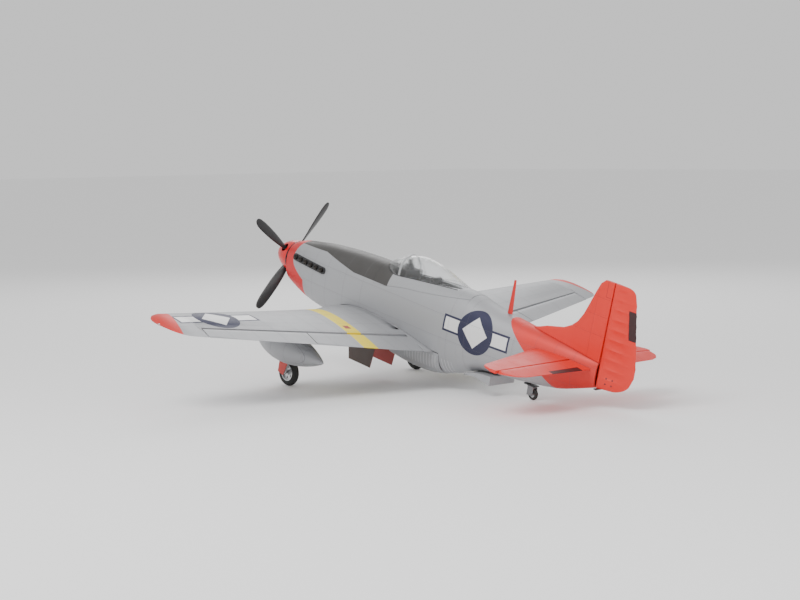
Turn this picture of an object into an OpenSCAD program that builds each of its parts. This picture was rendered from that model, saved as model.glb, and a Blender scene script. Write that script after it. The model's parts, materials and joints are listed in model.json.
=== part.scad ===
/* Foam radio-control warbird: single engine, low wing, bubble canopy, retracting main gear.
   Every module is drawn in the airframe's own frame: origin at the spinner's tip on the thrust line,
   +X to the left wing, +Y aft, +Z up. stand() then sets the airframe on its three wheels. */

/* [Wing] */
// Span from tip to tip
span = 1450; // [1350:10:1500]
// Half width of the flat wing centre section under the fuselage
centre_half = 63; // [60:1:70]
// Leading edge station at the centre line
wing_le = 350; // [340:1:360]
// Chord at the centre line, without the root extension
wing_chord = 350; // [320:5:380]
// Sweep of the leading edge over the half span
wing_sweep = 38; // [20:1:50]
// Chord at the tip
tip_chord = 152; // [130:1:180]
// How far the leading edge steps forward at the root
root_glove = 34; // [20:1:40]
// Height of the chord line at the centre
wing_z = -74; // [-80:1:-70]
// Rise of the tip's chord line over the root's
dihedral_rise = 53; // [30:1:70]
// Thickness over chord
wing_tc = 0.15; // [0.12:0.01:0.16]
// Chord fraction of the aileron and flap hinges
hinge_frac = 0.78; // [0.74:0.01:0.82]
// Outer end of the flap
flap_end = 368; // [340:1:380]
// Outer end of the aileron
aileron_end = 648; // [600:1:660]

/* [Fuselage] */
// Foam wall
wall = 7; // [5:0.5:9]
// Front face of the fuselage, behind the spinner
nose_y = 82; // [80:1:86]
// Rear end of the fuselage, ahead of the rudder
tail_y = 1164; // [1150:1:1166]
// Front end of the lift-off hatch
hatch_y0 = 440; // [430:1:450]
// Rear end of the lift-off hatch
hatch_y1 = 762; // [750:1:770]
// Front end of the cockpit opening
cockpit_y0 = 450; // [448:1:460]
// Rear end of the cockpit opening
cockpit_y1 = 712; // [700:1:716]

/* [Tail] */
// Height of the stabiliser
stab_z = 24; // [18:1:30]
// Half span of the stabiliser
stab_half = 271; // [250:1:290]
// Station of the elevator hinge
elev_y = 1098; // [1090:1:1104]
// Station of the rudder hinge
rudder_y = 1176; // [1174:1:1180]
// Height of the fin's tip
fin_top = 234; // [220:1:245]
// Bottom of the rudder
rudder_low = -14; // [-20:1:-10]

/* [Propeller] */
// Propeller radius
prop_r = 177; // [160:1:180]
// Station of the propeller disc
prop_y = 54; // [50:1:58]
// Spinner radius at its base
spinner_r = 45; // [42:1:46]
// Angle of the first blade
prop_phase = 35.7; // [0:0.1:89.9]

/* [Landing gear] */
// Half of the main track
track_half = 225; // [215:1:235]
// Station of the main axle
axle_y = 356; // [350:1:362]
// Height of the main axle
axle_z = -217; // [-225:1:-210]
// Main wheel radius
wheel_r = 35; // [32:0.5:36]
// Main wheel width
wheel_w = 18; // [14:1:19]
// Offset of the leg outboard of the wheel
leg_offset = 13; // [12:1:16]
// Station of the retract pivot
pivot_y = 385; // [380:1:390]
// Height of the retract pivot
pivot_z = -81; // [-84:1:-78]
// Tail wheel radius
tail_r = 14.5; // [12:0.5:16]
// Station of the tail axle
tail_axle_y = 982; // [975:1:990]
// Height of the tail axle
tail_axle_z = -93.5; // [-97:0.5:-90]

/* [Clearances] */
// Gap round each moving surface
gap = 0.8; // [0.6:0.1:1.5]
// Radial clearance of a pin or shaft in its bore
fit = 0.05; // [0.02:0.01:0.1]
// Gap between fixed mouldings that meet at a seam
seam = 0.3; // [0.2:0.05:0.5]

/* [Hidden] */

// ---- curves and lofts ----
function lerp(a, b, t) = a + (b - a) * t;
function clamp(v, lo, hi) = min(max(v, lo), hi);
// slope of a table [[u, v], ...] at its i-th point
function slope(tab, i) =
  let (a = tab[max(i - 1, 0)], b = tab[min(i + 1, len(tab) - 1)]) (b[1] - a[1]) / (b[0] - a[0]);
function segment(tab, u, i = 0) =
  i >= len(tab) - 2 || u < tab[i + 1][0] ? i : segment(tab, u, i + 1);
// smooth curve through the table's points
function along(tab, u) =
  let (i = segment(tab, u), p = tab[i], q = tab[i + 1], h = q[0] - p[0], t = clamp((u - p[0]) / h, 0, 1))
  (2 * t^3 - 3 * t^2 + 1) * p[1] + (t^3 - 2 * t^2 + t) * h * slope(tab, i)
  + (3 * t^2 - 2 * t^3) * q[1] + (t^3 - t^2) * h * slope(tab, i + 1);

// closed loft through rings of equal point count; each ring runs out along one side of a
// section and back along the other, so its end caps are strips between the two sides
module loft(rings) {
  n = len(rings[0]);
  m = len(rings);
  half = n / 2;
  last = (m - 1) * n;
  points = [for (r = rings) for (p = r) p];
  sides = [for (j = [0:m - 2]) for (i = [0:n - 1]) let (a = j * n + i, b = j * n + (i + 1) % n)
    each [[a, b, b + n], [a, b + n, a + n]]];
  cap0 = [for (i = [0:half - 2]) each [[i, n - 1 - i, i + 1], [i + 1, n - 1 - i, n - 2 - i]]];
  cap1 = [for (i = [0:half - 2]) each [[last + i, last + i + 1, last + n - 1 - i],
    [last + i + 1, last + n - 2 - i, last + n - 1 - i]]];
  polyhedron(points, concat(sides, cap0, cap1), convexity = 8);
}
module both_sides() { children(); mirror([1, 0, 0]) children(); }
// straight round bar between two points
module bar(a, b, r) {
  d = b - a;
  translate(a) rotate([0, acos(d[2] / norm(d)), atan2(d[1], d[0])])
    cylinder(r = r, h = norm(d), $fn = 24);
}

// ---- fuselage lines: station, value ----
TOP = [[82, 46], [102, 54], [150, 63], [195, 71], [275, 79], [354, 84], [440, 86], [600, 90],
  [717, 93], [760, 90], [810, 80], [868, 72], [925, 68], [1000, 62], [1080, 54], [1164, 44]];
BOTTOM = [[82, -64], [100, -72], [148, -88], [214, -100], [318, -108], [420, -118], [520, -134],
  [606, -142], [672, -138], [736, -120], [775, -103], [827, -85], [924, -75], [998, -65],
  [1061, -54], [1164, -18]];
WIDTH = [[82, 46], [120, 51], [200, 57], [300, 61], [420, 63], [600, 64], [700, 63], [817, 57],
  [900, 48], [1000, 35], [1100, 21], [1164, 9.5]];
WIDEST = [[82, -2], [200, -12], [400, -16], [600, -14], [817, -4], [1000, 4], [1164, 14]];
// lower edge of the lift-off hatch
HATCH_EDGE = [[440, 34], [470, 36], [543, 49], [615, 57], [686, 67], [762, 79]];
// sill that the canopy stands on
SILL = [[440, 84.5], [452, 82], [475, 74], [497, 69.5], [560, 75], [640, 82], [717, 88], [762, 89]];
// top of the canopy glass
CANOPY = [[445, 90], [466, 103], [490, 115], [512, 124], [560, 131], [610, 126], [665, 111], [712, 93]];
ROUND = 2.35;      // exponent of the fuselage's oval section

// point on the section at station y and angle t (-90 keel, 0 widest, 90 spine), inset from the skin
function hull_at(y, t, inset = 0) =
  let (w = along(WIDTH, y) - inset, z0 = along(WIDEST, y), s = sin(t),
    h = s >= 0 ? along(TOP, y) - inset - z0 : z0 - along(BOTTOM, y) - inset)
  [w * pow(max(cos(t), 0), 2 / ROUND), y, z0 + sign(s) * h * pow(abs(s), 2 / ROUND)];
// angle on the section where the skin reaches height z
function angle_at(y, z, inset = 0) =
  let (z0 = along(WIDEST, y), up = z >= z0,
    h = up ? along(TOP, y) - inset - z0 : z0 - along(BOTTOM, y) - inset)
  asin(clamp(pow(abs(z - z0) / h, ROUND / 2), 0, 1)) * (up ? 1 : -1);
function skin_x(y, z) = hull_at(y, angle_at(y, z))[0];

// ring of a half shell between heights za and zb (or the keel and spine)
function shell_ring(y, za, zb, thick, n) =
  let (a0 = za == undef ? -90 : angle_at(y, za), a1 = zb == undef ? 90 : angle_at(y, zb),
    b0 = za == undef ? -90 : angle_at(y, za, thick), b1 = zb == undef ? 90 : angle_at(y, zb, thick))
  concat([for (i = [0:n]) hull_at(y, lerp(a0, a1, i / n))],
    [for (i = [n:-1:0]) hull_at(y, lerp(b0, b1, i / n), thick)]);

// ---- aerofoil ----
function thickness(s, tc) =
  5 * tc * (0.2969 * sqrt(s) - 0.126 * s - 0.3516 * s^2 + 0.2843 * s^3 - 0.1036 * s^4);
function camber(s) = 0.018 * (s < 0.4 ? (0.8 * s - s^2) / 0.16 : (0.2 + 0.8 * s - s^2) / 0.36);
// spacing that crowds points at the nose
function crowd(i, n) = 1 - cos(90 * i / n);

half_span = span / 2;
tip_round = 34;        // length of the rounded wing tip
function wing_front(x) =
  let (u = abs(x), glove = root_glove * clamp((195 - u) / 90, 0, 1),
    tip = clamp((u - (half_span - tip_round)) / tip_round, 0, 1))
  wing_le + wing_sweep * u / half_span - glove
  + tip_chord * 0.42 * (1 - sqrt(1 - 0.97 * tip^2));
function wing_rear(x) =
  let (u = abs(x), tip = clamp((u - (half_span - tip_round)) / tip_round, 0, 1))
  lerp(wing_le + wing_chord, wing_le + wing_sweep + tip_chord, u / half_span)
  - tip_chord * 0.3 * (1 - sqrt(1 - 0.97 * tip^2));
function wing_mid(x) = wing_z + (abs(x) <= centre_half ? 0
  : dihedral_rise * (abs(x) - centre_half) / (half_span - centre_half));
function wing_hinge(x) = lerp(wing_le + wing_sweep * abs(x) / half_span,
  lerp(wing_le + wing_chord, wing_le + wing_sweep + tip_chord, abs(x) / half_span), hinge_frac);
function tip_thin(x) = 1 - 0.45 * pow(clamp((abs(x) - (half_span - tip_round)) / tip_round, 0, 1), 2);
// height of the wing's skin at (x, y); side 1 upper, -1 lower
function wing_skin(x, y, side) =
  let (f = wing_front(x), c = wing_rear(x) - f, s = clamp((y - f) / c, 0, 1))
  wing_mid(x) + c * (camber(s) + side * (thickness(s, wing_tc * tip_thin(x)) + 0.002));
// half thickness at the hinge, and the hinge's height
function hinge_r(x) = (wing_skin(x, wing_hinge(x), 1) - wing_skin(x, wing_hinge(x), -1)) / 2;
function hinge_z(x) = (wing_skin(x, wing_hinge(x), 1) + wing_skin(x, wing_hinge(x), -1)) / 2;
// how far a point behind the hinge is carried outboard, so that end faces stand square to the hinge
hinge_slope = (wing_hinge(centre_half) - wing_hinge(half_span - tip_round))
  / (half_span - tip_round - centre_half);
CHORD_N = 16;
// wing ring at x whose rear ends at station rear; skew carries the part aft of the hinge outboard
function wing_ring(x, rear, skew = 0) =
  let (f = wing_front(x),
    ys = [for (i = [0:CHORD_N]) lerp(f, rear, crowd(i, CHORD_N))],
    px = [for (y = ys) x + skew * max(0, y - wing_hinge(x) + hinge_r(x))])
  concat([for (i = [0:CHORD_N]) [px[i], ys[i], wing_skin(px[i], ys[i], -1)]],
    [for (i = [CHORD_N:-1:0]) [px[i], ys[i], wing_skin(px[i], ys[i], 1)]]);
// ring of a hinged surface at x: round nose about the hinge, then the aerofoil to its trailing edge
function surface_ring(x) =
  let (yh = wing_hinge(x), zh = hinge_z(x), r = hinge_r(x), rear = wing_rear(x),
    arc = [for (i = [0:4]) [yh - r * cos(22.5 * i), r * sin(22.5 * i)]],
    aft = [for (i = [1:5]) lerp(yh, rear, i / 5)])
  concat([for (a = arc) [x + hinge_slope * (a[0] - yh), a[0], zh - a[1]]],
    [for (y = aft) let (u = x + hinge_slope * (y - yh)) [u, y, wing_skin(u, y, -1)]],
    [for (i = [4:-1:0]) let (y = aft[i], u = x + hinge_slope * (y - yh)) [u, y, wing_skin(u, y, 1)]],
    [for (i = [4:-1:0]) let (a = arc[i]) [x + hinge_slope * (a[0] - yh), a[0], zh + a[1]]]);
function mirrored(rings) = [for (r = rings) [for (i = [len(r) - 1:-1:0]) [-r[i][0], r[i][1], r[i][2]]]];

// ---- stance on the ground ----
gear_dy = tail_axle_y - axle_y;
gear_dz = tail_axle_z - axle_z;
ground_angle = atan2(gear_dz, gear_dy) + asin((wheel_r - tail_r) / norm([gear_dy, gear_dz]));
ground_lift = wheel_r - (-axle_y * sin(ground_angle) + axle_z * cos(ground_angle));
shift_back = -627.5;   // puts the origin midway between the spinner's tip and the rudder
module stand() { translate([0, shift_back, ground_lift]) rotate([-ground_angle, 0, 0]) children(); }

// ---- fuselage ----
wing_root_y0 = wing_front(centre_half);
function centre_top(y) = wing_skin(centre_half, y, 1);
cowl_y = 150;          // seam between the nose cowl and the foam fuselage
saddle_y0 = wing_root_y0 - 0.4;   // front of the wing saddle
saddle_y1 = 706;       // rear of the wing saddle
// edge of the saddle, a little further off where the wing's nose curves most
function saddle_top(y) = centre_top(y) + seam + 0.5 + 2.3 * clamp((352 - y) / 25, 0, 1);
// sections of both the hatch and its opening
HATCH_YS = [470, 483, 497, 520, 543, 560, 580, 600, 615, 640, 655, 680];
fuselage_rings = [
  for (y = [cowl_y + seam, 185, 225, 270, 305, saddle_y0 - 0.6]) shell_ring(y, undef, undef, wall, 14),
  for (y = [saddle_y0, 325, 334, 345, 365, 380, 395, 415, hatch_y0 - 1])
    shell_ring(y, saddle_top(y), undef, wall, 14),
  for (y = concat(hatch_y0 - seam, HATCH_YS, saddle_y1 - 0.6))
    shell_ring(y, saddle_top(y), along(HATCH_EDGE, y), wall, 14),
  for (y = [saddle_y1, cockpit_y1, 736, hatch_y1 + seam])
    shell_ring(y, undef, along(HATCH_EDGE, y), wall, 14),
  for (y = [hatch_y1 + 1, 790, 827, 868, 920, 970, 1020, 1061]) shell_ring(y, undef, undef, wall, 14),
  for (y = [1080, 1110, 1140, tail_y]) shell_ring(y, undef, undef, wall * 0.5, 14)];
module fuselage_side() {
  difference() {
    loft(fuselage_rings);
    translate([0, elev_y, stab_z]) rotate([0, 90, 0]) cylinder(r = joiner_r + 2, h = 60, $fn = 32);
    translate([0, steer_y, -100]) cylinder(r = 4, h = 60, $fn = 32);
  }
}
module fuselage_left() { color("silver") fuselage_side(); }
module fuselage_right() { color("silver") mirror([1, 0, 0]) fuselage_side(); }
spinner_base_y = 78;
module nose_cowl() {
  rings = [for (y = [nose_y, 92, 105, 125, cowl_y]) shell_ring(y, undef, undef, wall * 0.6, 14)];
  color("crimson") { loft(rings); loft(mirrored(rings)); }
}
// flattened plate across the fuselage at station y, inside the foam
function plate_outline(y, inset, n = 12) =
  let (half = [for (i = [0:n]) hull_at(y, lerp(-90, 90, i / n), inset)])
  concat([for (p = half) [p[0], p[2]]], [for (i = [n - 1:-1:1]) [-half[i][0], half[i][2]]]);
module plate_at(y, inset, thick) {
  translate([0, y + thick, 0]) rotate([90, 0, 0]) linear_extrude(thick) polygon(plate_outline(y, inset));
}
motor_r = 21;
shaft_r = 3;
backplate_t = 3;
backplate_y = spinner_base_y - backplate_t;
firewall_y = 128;
module firewall() {
  color("burlywood") difference() {
    plate_at(firewall_y, wall * 0.6 + 1.2, 4);
    for (a = [45:90:315]) rotate([0, a, 0]) translate([14, firewall_y - 1, 0]) rotate([-90, 0, 0])
      cylinder(r = 1.6, h = 6, $fn = 24);
  }
}
module motor_can() {
  color("dimgray") {
    translate([0, firewall_y - 34, 0]) rotate([-90, 0, 0]) difference() {
      union() {
        cylinder(r = motor_r, h = 28, $fn = 48);
        translate([0, 0, 28]) cylinder(r = motor_r * 0.55, h = 6, $fn = 48);
      }
      translate([0, 0, -1]) cylinder(r = shaft_r + fit, h = 40, $fn = 32);
    }
  }
}
module motor_shaft() {
  color("lightgray") translate([0, 30, 0]) rotate([-90, 0, 0]) {
    cylinder(r = shaft_r, h = firewall_y - 31, $fn = 32);
    translate([0, 0, backplate_y - 30 - 6]) cylinder(r = 6, h = 6, $fn = 32);
  }
}
// the spinner is a hollow cone with a rounded nose and four gaps for the blades
spinner_wall = 2;
function spinner_profile(r, y0, n = 14) =
  [for (i = [0:n]) let (u = (i / n)^1.5)
    [r * pow(1 - pow(1 - u, 1.7), 0.62), y0 + (spinner_base_y - backplate_t - y0) * u]];
module spinner_shape(r, y0) {
  rotate([-90, 0, 0]) rotate_extrude($fn = 64)
    polygon(concat([[0, spinner_base_y - backplate_t]], spinner_profile(r, y0)));
}
blade_root_r = 8;
nose_screw_r = 1.6;    // hole for the screw that holds the spinner
module spinner() {
  color("red") difference() {
    spinner_shape(spinner_r, 0);
    spinner_shape(spinner_r - spinner_wall, 5);
    translate([0, -1, 0]) rotate([-90, 0, 0]) cylinder(r = nose_screw_r, h = 20, $fn = 32);
    for (k = [0:3]) rotate([0, -prop_phase - 90 * k, 0]) translate([0, prop_y, 0]) rotate([0, 90, 0])
      cylinder(r = blade_root_r + 4, h = 60, $fn = 32);
  }
}
module spinner_backplate() {
  color("black") translate([0, backplate_y + 0.1, 0]) rotate([-90, 0, 0]) difference() {
    cylinder(r = spinner_r, h = backplate_t - 0.1, $fn = 64);
    translate([0, 0, -1]) cylinder(r = shaft_r, h = 9, $fn = 32);
  }
}
// one blade along +X: chord and twist follow the radius
BLADE = [[8, 7, 45], [30, 8.5, 42], [55, 11.5, 34], [85, 13.5, 27], [115, 14, 22], [145, 13.5, 18],
  [163, 11.5, 16], [172, 8, 15.4], [176, 4, 15]];   // radius, half chord, pitch
function blade_ring(r, c, a, t) = let (n = 6)
  concat([for (i = [0:n]) let (u = lerp(-c, c, i / n), h = 0.35 + t * (1 - (u / c)^2))
      [r, prop_y + u * sin(a) + h * cos(a), -u * cos(a) + h * sin(a)]],
    [for (i = [n:-1:0]) let (u = lerp(-c, c, i / n), h = -t * (1 - (u / c)^2))
      [r, prop_y + u * sin(a) + h * cos(a), -u * cos(a) + h * sin(a)]]);
module propeller() {
  color("black") {
    difference() {
      translate([0, prop_y - 12, 0]) rotate([-90, 0, 0]) cylinder(r = 14, h = 21, $fn = 48);
      translate([0, prop_y - 20, 0]) rotate([-90, 0, 0]) cylinder(r = shaft_r, h = 40, $fn = 32);
    }
    for (k = [0:3]) rotate([0, -prop_phase - 90 * k, 0]) {
      translate([13, prop_y, 0]) rotate([0, 90, 0]) cylinder(r = blade_root_r - 2, h = 20, $fn = 24);
      loft([for (b = BLADE) blade_ring(b[0] + 14 * (prop_r - b[0]) / prop_r,
        b[1], b[2], lerp(2.6, 0.7, b[0] / 176))]);
    }
  }
}
exhaust_y0 = 113;
exhaust_y1 = 257;
exhaust_half = 9;
function exhaust_z(y) = lerp(17, 12, (y - exhaust_y0) / (exhaust_y1 - exhaust_y0));
// black strip along each side of the nose, round at both ends
function exhaust_ring(y, n = 6) =
  let (e = min(y - exhaust_y0, exhaust_y1 - y),
    h = exhaust_half * sqrt(1 - (1 - clamp(e / exhaust_half, 0.05, 1))^2),
    zs = [for (i = [0:n]) exhaust_z(y) + lerp(-h, h, i / n)])
  concat([for (i = [0:n]) [skin_x(y, zs[i]) + seam + 1.8, y, zs[i]]],
    [for (i = [n:-1:0]) [skin_x(y, zs[i]) + seam, y, zs[i]]]);
module exhaust_stacks() {
  color("dimgray") both_sides() {
    loft([for (e = [0.4, 2, 4.5, exhaust_half]) exhaust_ring(exhaust_y0 + e),
      for (y = [130, 150, 175, 200, 225]) exhaust_ring(y),
      for (e = [exhaust_half, 4.5, 2, 0.4]) exhaust_ring(exhaust_y1 - e)]);
  }
}
battery_size = [44, 140, 32];
tray_z = -50;
tray_y0 = 175;
tray_len = 150;
module battery_tray() {
  color("burlywood") {
    translate([-24, tray_y0, tray_z]) cube([48, tray_len, 3]);
    for (y = [tray_y0 + 6, tray_y0 + tray_len - 14]) both_sides()
      translate([24, y, tray_z - 3]) cube([skin_x(y, tray_z) - wall - 28.2, 8, 6]);
  }
}
module battery() {
  color("royalblue") translate([-battery_size[0] / 2, tray_y0 + 5, tray_z + 3 + seam / 2]) cube(battery_size);
}
module speed_controller() {
  color("darkblue") translate([-16, firewall_y + 4 + seam, tray_z + 8]) cube([32, 38, 13]);
}
module receiver() {
  color("gray") translate([-13, 425, centre_top(440) + seam]) cube([26, 42, 14]);
}

// ---- belly ----
function belly_half(y) = 0.86 * along(WIDTH, y);
keel_half = 36;        // half width of the keel fairing between the inner gear doors
function centre_low(y) = wing_skin(centre_half, y, -1);
// half section of the belly under the wing: top line, then down round to the keel
function belly_ring(y, thick, top, n = 10) =
  let (w = belly_half(y), z1 = along(BOTTOM, y), h = top - z1,
    out = [for (i = [0:n]) let (a = 90 * i / n) [w * cos(a)^0.7, y, top - h * sin(a)^0.8]],
    inn = [for (i = [n:-1:0]) let (a = 90 * i / n)
      [(w - thick) * cos(a)^0.7, y, top - (h - thick) * sin(a)^0.8]])
  concat(out, inn);
scoop_y0 = 522;
scoop_y1 = 704;
module belly_scoop() {
  rings = [for (y = [scoop_y0, 530, 560, 606, 640, 672, scoop_y1])
    belly_ring(y, y == scoop_y0 ? 2.5 : 5, centre_low(y) - seam)];
  color("silver") { loft(mirrored(rings)); loft(rings); }
}
// solid fairing under the wing: as wide as the fuselage at its front, narrow between the gear doors
fairing_y0 = wing_root_y0 - 0.5;
function fairing_ring(y, n = 10) =
  let (w = lerp(skin_x(y, -76) - 1, keel_half, clamp((y - fairing_y0) / 30, 0, 1)^0.7),
    top = centre_low(y) - seam - 0.5 - 2 * clamp((360 - y) / 30, 0, 1), z1 = min(along(BOTTOM, y), top - 1.5),
    h = top - z1)
  concat([for (i = [0:n]) let (a = 180 * i / n, c = cos(a))
      [w * sign(c) * pow(abs(c), 0.45), y, top - h * pow(sin(a), 0.8)]],
    [for (i = [n:-1:0]) let (a = 180 * i / n, c = cos(a)) [w * sign(c) * pow(abs(c), 0.45), y, top]]);
fairing_y1 = 505;
FLAP_DEPTH = [[776, 0], [821, 8], [878, 22]];
module belly_fairing() {
  color("silver")
    loft([for (y = [fairing_y0, 324, 332, 341, 350, 365, 400, 440, 480, fairing_y1]) fairing_ring(y)]);
}
// wedge under the tail cone that turns the radiator's air out
module radiator_flap() {
  w = 44;      // half width
  bevel = 6;
  function flap_top(y) = along(BOTTOM, y) - seam - 0.5;
  function flap_low(y) = along(BOTTOM, y) - along(FLAP_DEPTH, y) - 2;
  color("silver") loft([for (y = [790, 821, 850, 878])
    [for (x = [w, w - bevel, bevel - w, -w]) [x, y, flap_low(y)],
      for (x = [-w, bevel - w, w - bevel, w]) [x, y, flap_top(y)]]]);
}

// ---- hatch, canopy and cockpit ----
hatch_wall = 6;
sill_in = 3;      // how far the canopy stands in from the hatch's skin
function hatch_low(y) = along(HATCH_EDGE, y) + seam + 0.3;
function hatch_ring(y, top) = shell_ring(y, hatch_low(y), top, hatch_wall, 10);
hatch_rings = [
  for (y = [hatch_y0 + seam, cockpit_y0]) hatch_ring(y, undef),
  for (y = concat(cockpit_y0 + 0.6, 462, HATCH_YS, cockpit_y1)) hatch_ring(y, along(SILL, y)),
  for (y = [cockpit_y1 + 0.6, 736, hatch_y1 - seam]) hatch_ring(y, undef)];
// two foam halves with a glue line between them
module hatch() { color("silver") both_sides() translate([seam / 6, 0, 0]) loft(hatch_rings); }
// arch from sill to sill, thick inwards
function sill_x(y) = skin_x(y, along(SILL, y)) - sill_in;
function arch_ring(y, z0, w, top, thick, n = 20) =
  concat([for (i = [0:n]) let (a = 180 * i / n) [w * cos(a), y, z0 + (top - z0) * pow(sin(a), 0.9)]],
    [for (i = [n:-1:0]) let (a = 180 * i / n)
      [(w - thick) * cos(a), y, z0 + (top - z0 - thick) * pow(sin(a), 0.9)]]);
glass_y0 = 513;
glass_y1 = cockpit_y1 - seam;
glass_t = 1;
module canopy_glass() {
  color("lightcyan", 0.3) loft([for (y = [glass_y0 + seam, 535, 560, 590, 620, 650, 680, 700, glass_y1])
    let (z0 = along(SILL, y) + seam)
      arch_ring(y, z0, sill_x(y) * (y > 700 ? 0.9 : 1), max(along(CANOPY, y), z0 + 4), glass_t)]);
}
bow_w = 5;
windscreen_y0 = cockpit_y0 - 5;
module windscreen() {
  deck = along(TOP, cockpit_y0) + seam + 0.2;
  color("lightcyan", 0.3) loft(concat(
    [arch_ring(windscreen_y0, deck, 9, deck + 2.5, glass_t),
      arch_ring(cockpit_y0 + 0.7, deck, 15, deck + 7, glass_t)],
    [for (y = [cockpit_y0 + 2, 462, 470, 483, 497, glass_y0 - bow_w - seam])
      arch_ring(y, along(SILL, y) + seam + 1.7 * clamp((505 - y) / 10, 0, 1), sill_x(y),
        along(CANOPY, y), glass_t)]));
}
module windscreen_frame() {
  color("silver") loft([for (y = [glass_y0 - bow_w, glass_y0])
    arch_ring(y, along(SILL, y) + seam, sill_x(y) + 0.8, along(CANOPY, y) + 0.8, 2.4)]);
}
floor_z = 42;
// the floor passes up through the opening with the hatch, so it is nowhere wider than it
function floor_half(y) = let (edge = along(HATCH_EDGE, y))
  min(skin_x(y, edge) - wall - 1.6, skin_x(y, max(edge, floor_z) + 1.5) - hatch_wall - 1.3);
module cockpit_floor() {
  ys = [for (y = [cockpit_y0 + 2:32:cockpit_y1 - 2]) y];
  color("black") difference() {
    translate([0, 0, floor_z]) linear_extrude(2.5) polygon(concat([for (y = ys) [floor_half(y), y]],
      [for (i = [len(ys) - 1:-1:0]) [-floor_half(ys[i]), ys[i]]]));
    for (s = [-1, 1]) translate([s * 18, 640, floor_z - 1]) cylinder(r = 2.5, h = 9, $fn = 24);
  }
}
module instrument_panel() {
  color("black") {
    translate([-30, 520, floor_z + 2.5]) cube([60, 5, 42]);
    translate([-22, 470, floor_z + 41.5]) cube([44, 50.1, 3]);
    translate([-9, 498, floor_z + 44.4]) cube([18, 16, 12]);
    translate([-7, 506, floor_z + 56.3]) cube([14, 2, 14]);
  }
}
module seat() {
  color("black") {
    translate([-17, 585, floor_z + 2.5]) cube([34, 34, 10]);
    translate([-17, 619, floor_z + 3.9]) rotate([12, 0, 0]) mirror([0, 1, 0]) cube([34, 5, 46]);
    translate([-11, 626, floor_z + 2.5]) cube([22, 8, 34]);
  }
}
mast_y = 868;
module antenna_mast() {
  color("red") translate([0, mast_y, along(TOP, mast_y - 8) + seam])
    linear_extrude(84, scale = 0.45) scale([0.28, 1]) circle(8, $fn = 24);
}

// ---- wing ----
panel_root = centre_half + seam;
flap_start = centre_half + 10;
function cut_y(x) = wing_hinge(x) - hinge_r(x) - gap;
panel_rings = [
  for (x = [panel_root, flap_start - 5.8]) wing_ring(x, wing_rear(x + (x > panel_root ? 13 : 0)),
    x > panel_root ? hinge_slope : 0),
  for (x = [flap_start - 5.2, 95, 125, 155, 180, flap_end, aileron_end + 1.4]) wing_ring(x, cut_y(x)),
  wing_ring(aileron_end + 2, wing_rear(aileron_end + 9), hinge_slope),
  for (x = [662, 676, half_span - tip_round, 705, 714, 720, half_span]) wing_ring(x, wing_rear(x))];

// ---- main landing gear: modelled on the left, mirrored for the right ----
leg_x = track_half + leg_offset;
pivot = [leg_x, pivot_y, pivot_z];
leg_len = norm([axle_y - pivot_y, axle_z - pivot_z]);
rake = atan2(pivot_y - axle_y, pivot_z - axle_z);
gear_axis = [0.09, 1, -0.075];
gear_swing = 92;       // travel of the leg from down to folded
leg_r = 5;
axle_r = 2;
module leg_frame() { translate(pivot) rotate([-rake, 0, 0]) children(); }
module folded() { translate(pivot) rotate(a = gear_swing, v = gear_axis) translate(-pivot) children(); }
module wheel_well() {
  folded() translate([track_half + wheel_w / 2 + 60, axle_y, axle_z]) rotate([0, -90, 0])
    cylinder(r = wheel_r + 3, h = wheel_w + 61.5, $fn = 64);
  folded() translate([axle_end - 1.2, axle_y, axle_z]) rotate([0, 90, 0]) cylinder(r = 6.5, h = 20, $fn = 32);
  folded() leg_frame() translate([-leg_r - 2.5, -leg_r - 3.5, -leg_len - 8])
    cube([80, 2 * leg_r + 13, leg_len + 8]);
  translate([leg_x - 17, pivot_y - 21, pivot_z - 60]) cube([34, 42, 60 + 13]);
}
pin_r = 3;
knuckle_r = 8;
knuckle_half = 8;
axis_unit = gear_axis / norm(gear_axis);
axle_end = track_half - wheel_w / 2 - 9.5;      // inboard end of the axle
collar_x = track_half - wheel_w / 2 - 4.5;     // inboard face of the wheel collar
fairing_off = 11;
module gear_leg() {
  color("silver") {
    difference() {
      union() {
        bar(pivot - knuckle_half * axis_unit, pivot + knuckle_half * axis_unit, knuckle_r);
        leg_frame() translate([0, 0, -86]) cylinder(r = leg_r, h = 80, $fn = 32);
      }
      bar(pivot - 20 * axis_unit, pivot + 20 * axis_unit, pin_r + fit);
    }
    leg_frame() translate([0, 0, -leg_len]) cylinder(r = leg_r - 1.4, h = leg_len - 85.9, $fn = 32);
    translate([leg_x, axle_y, axle_z]) sphere(r = leg_r - 0.4, $fn = 32);
    translate([axle_end, axle_y, axle_z]) rotate([0, 90, 0])
      cylinder(r = axle_r, h = leg_x - axle_end, $fn = 32);
    translate([collar_x, axle_y, axle_z]) rotate([0, 90, 0]) cylinder(r = 4, h = 3.5, $fn = 32);
    // torque links behind the leg
    for (link = [[-84, -95], [-106, -95]]) leg_frame() bar([0, 0, link[0]], [0, 10, link[1]], 1.7);
  }
}
module gear_fairing() {
  color("firebrick") {
    leg_frame() translate([fairing_off, 0, 0]) rotate([90, 0, 90]) linear_extrude(1.6)
      polygon([[-22, -6], [22, -6], [22, -70], [12, -104], [8, -leg_len - 2], [-14, -leg_len - 2],
        [-22, -96]]);
    leg_frame() for (z = [-28, -70]) translate([leg_r + 0.1, -4, z]) cube([fairing_off - leg_r - 0.1, 8, 5]);
  }
}
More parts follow.
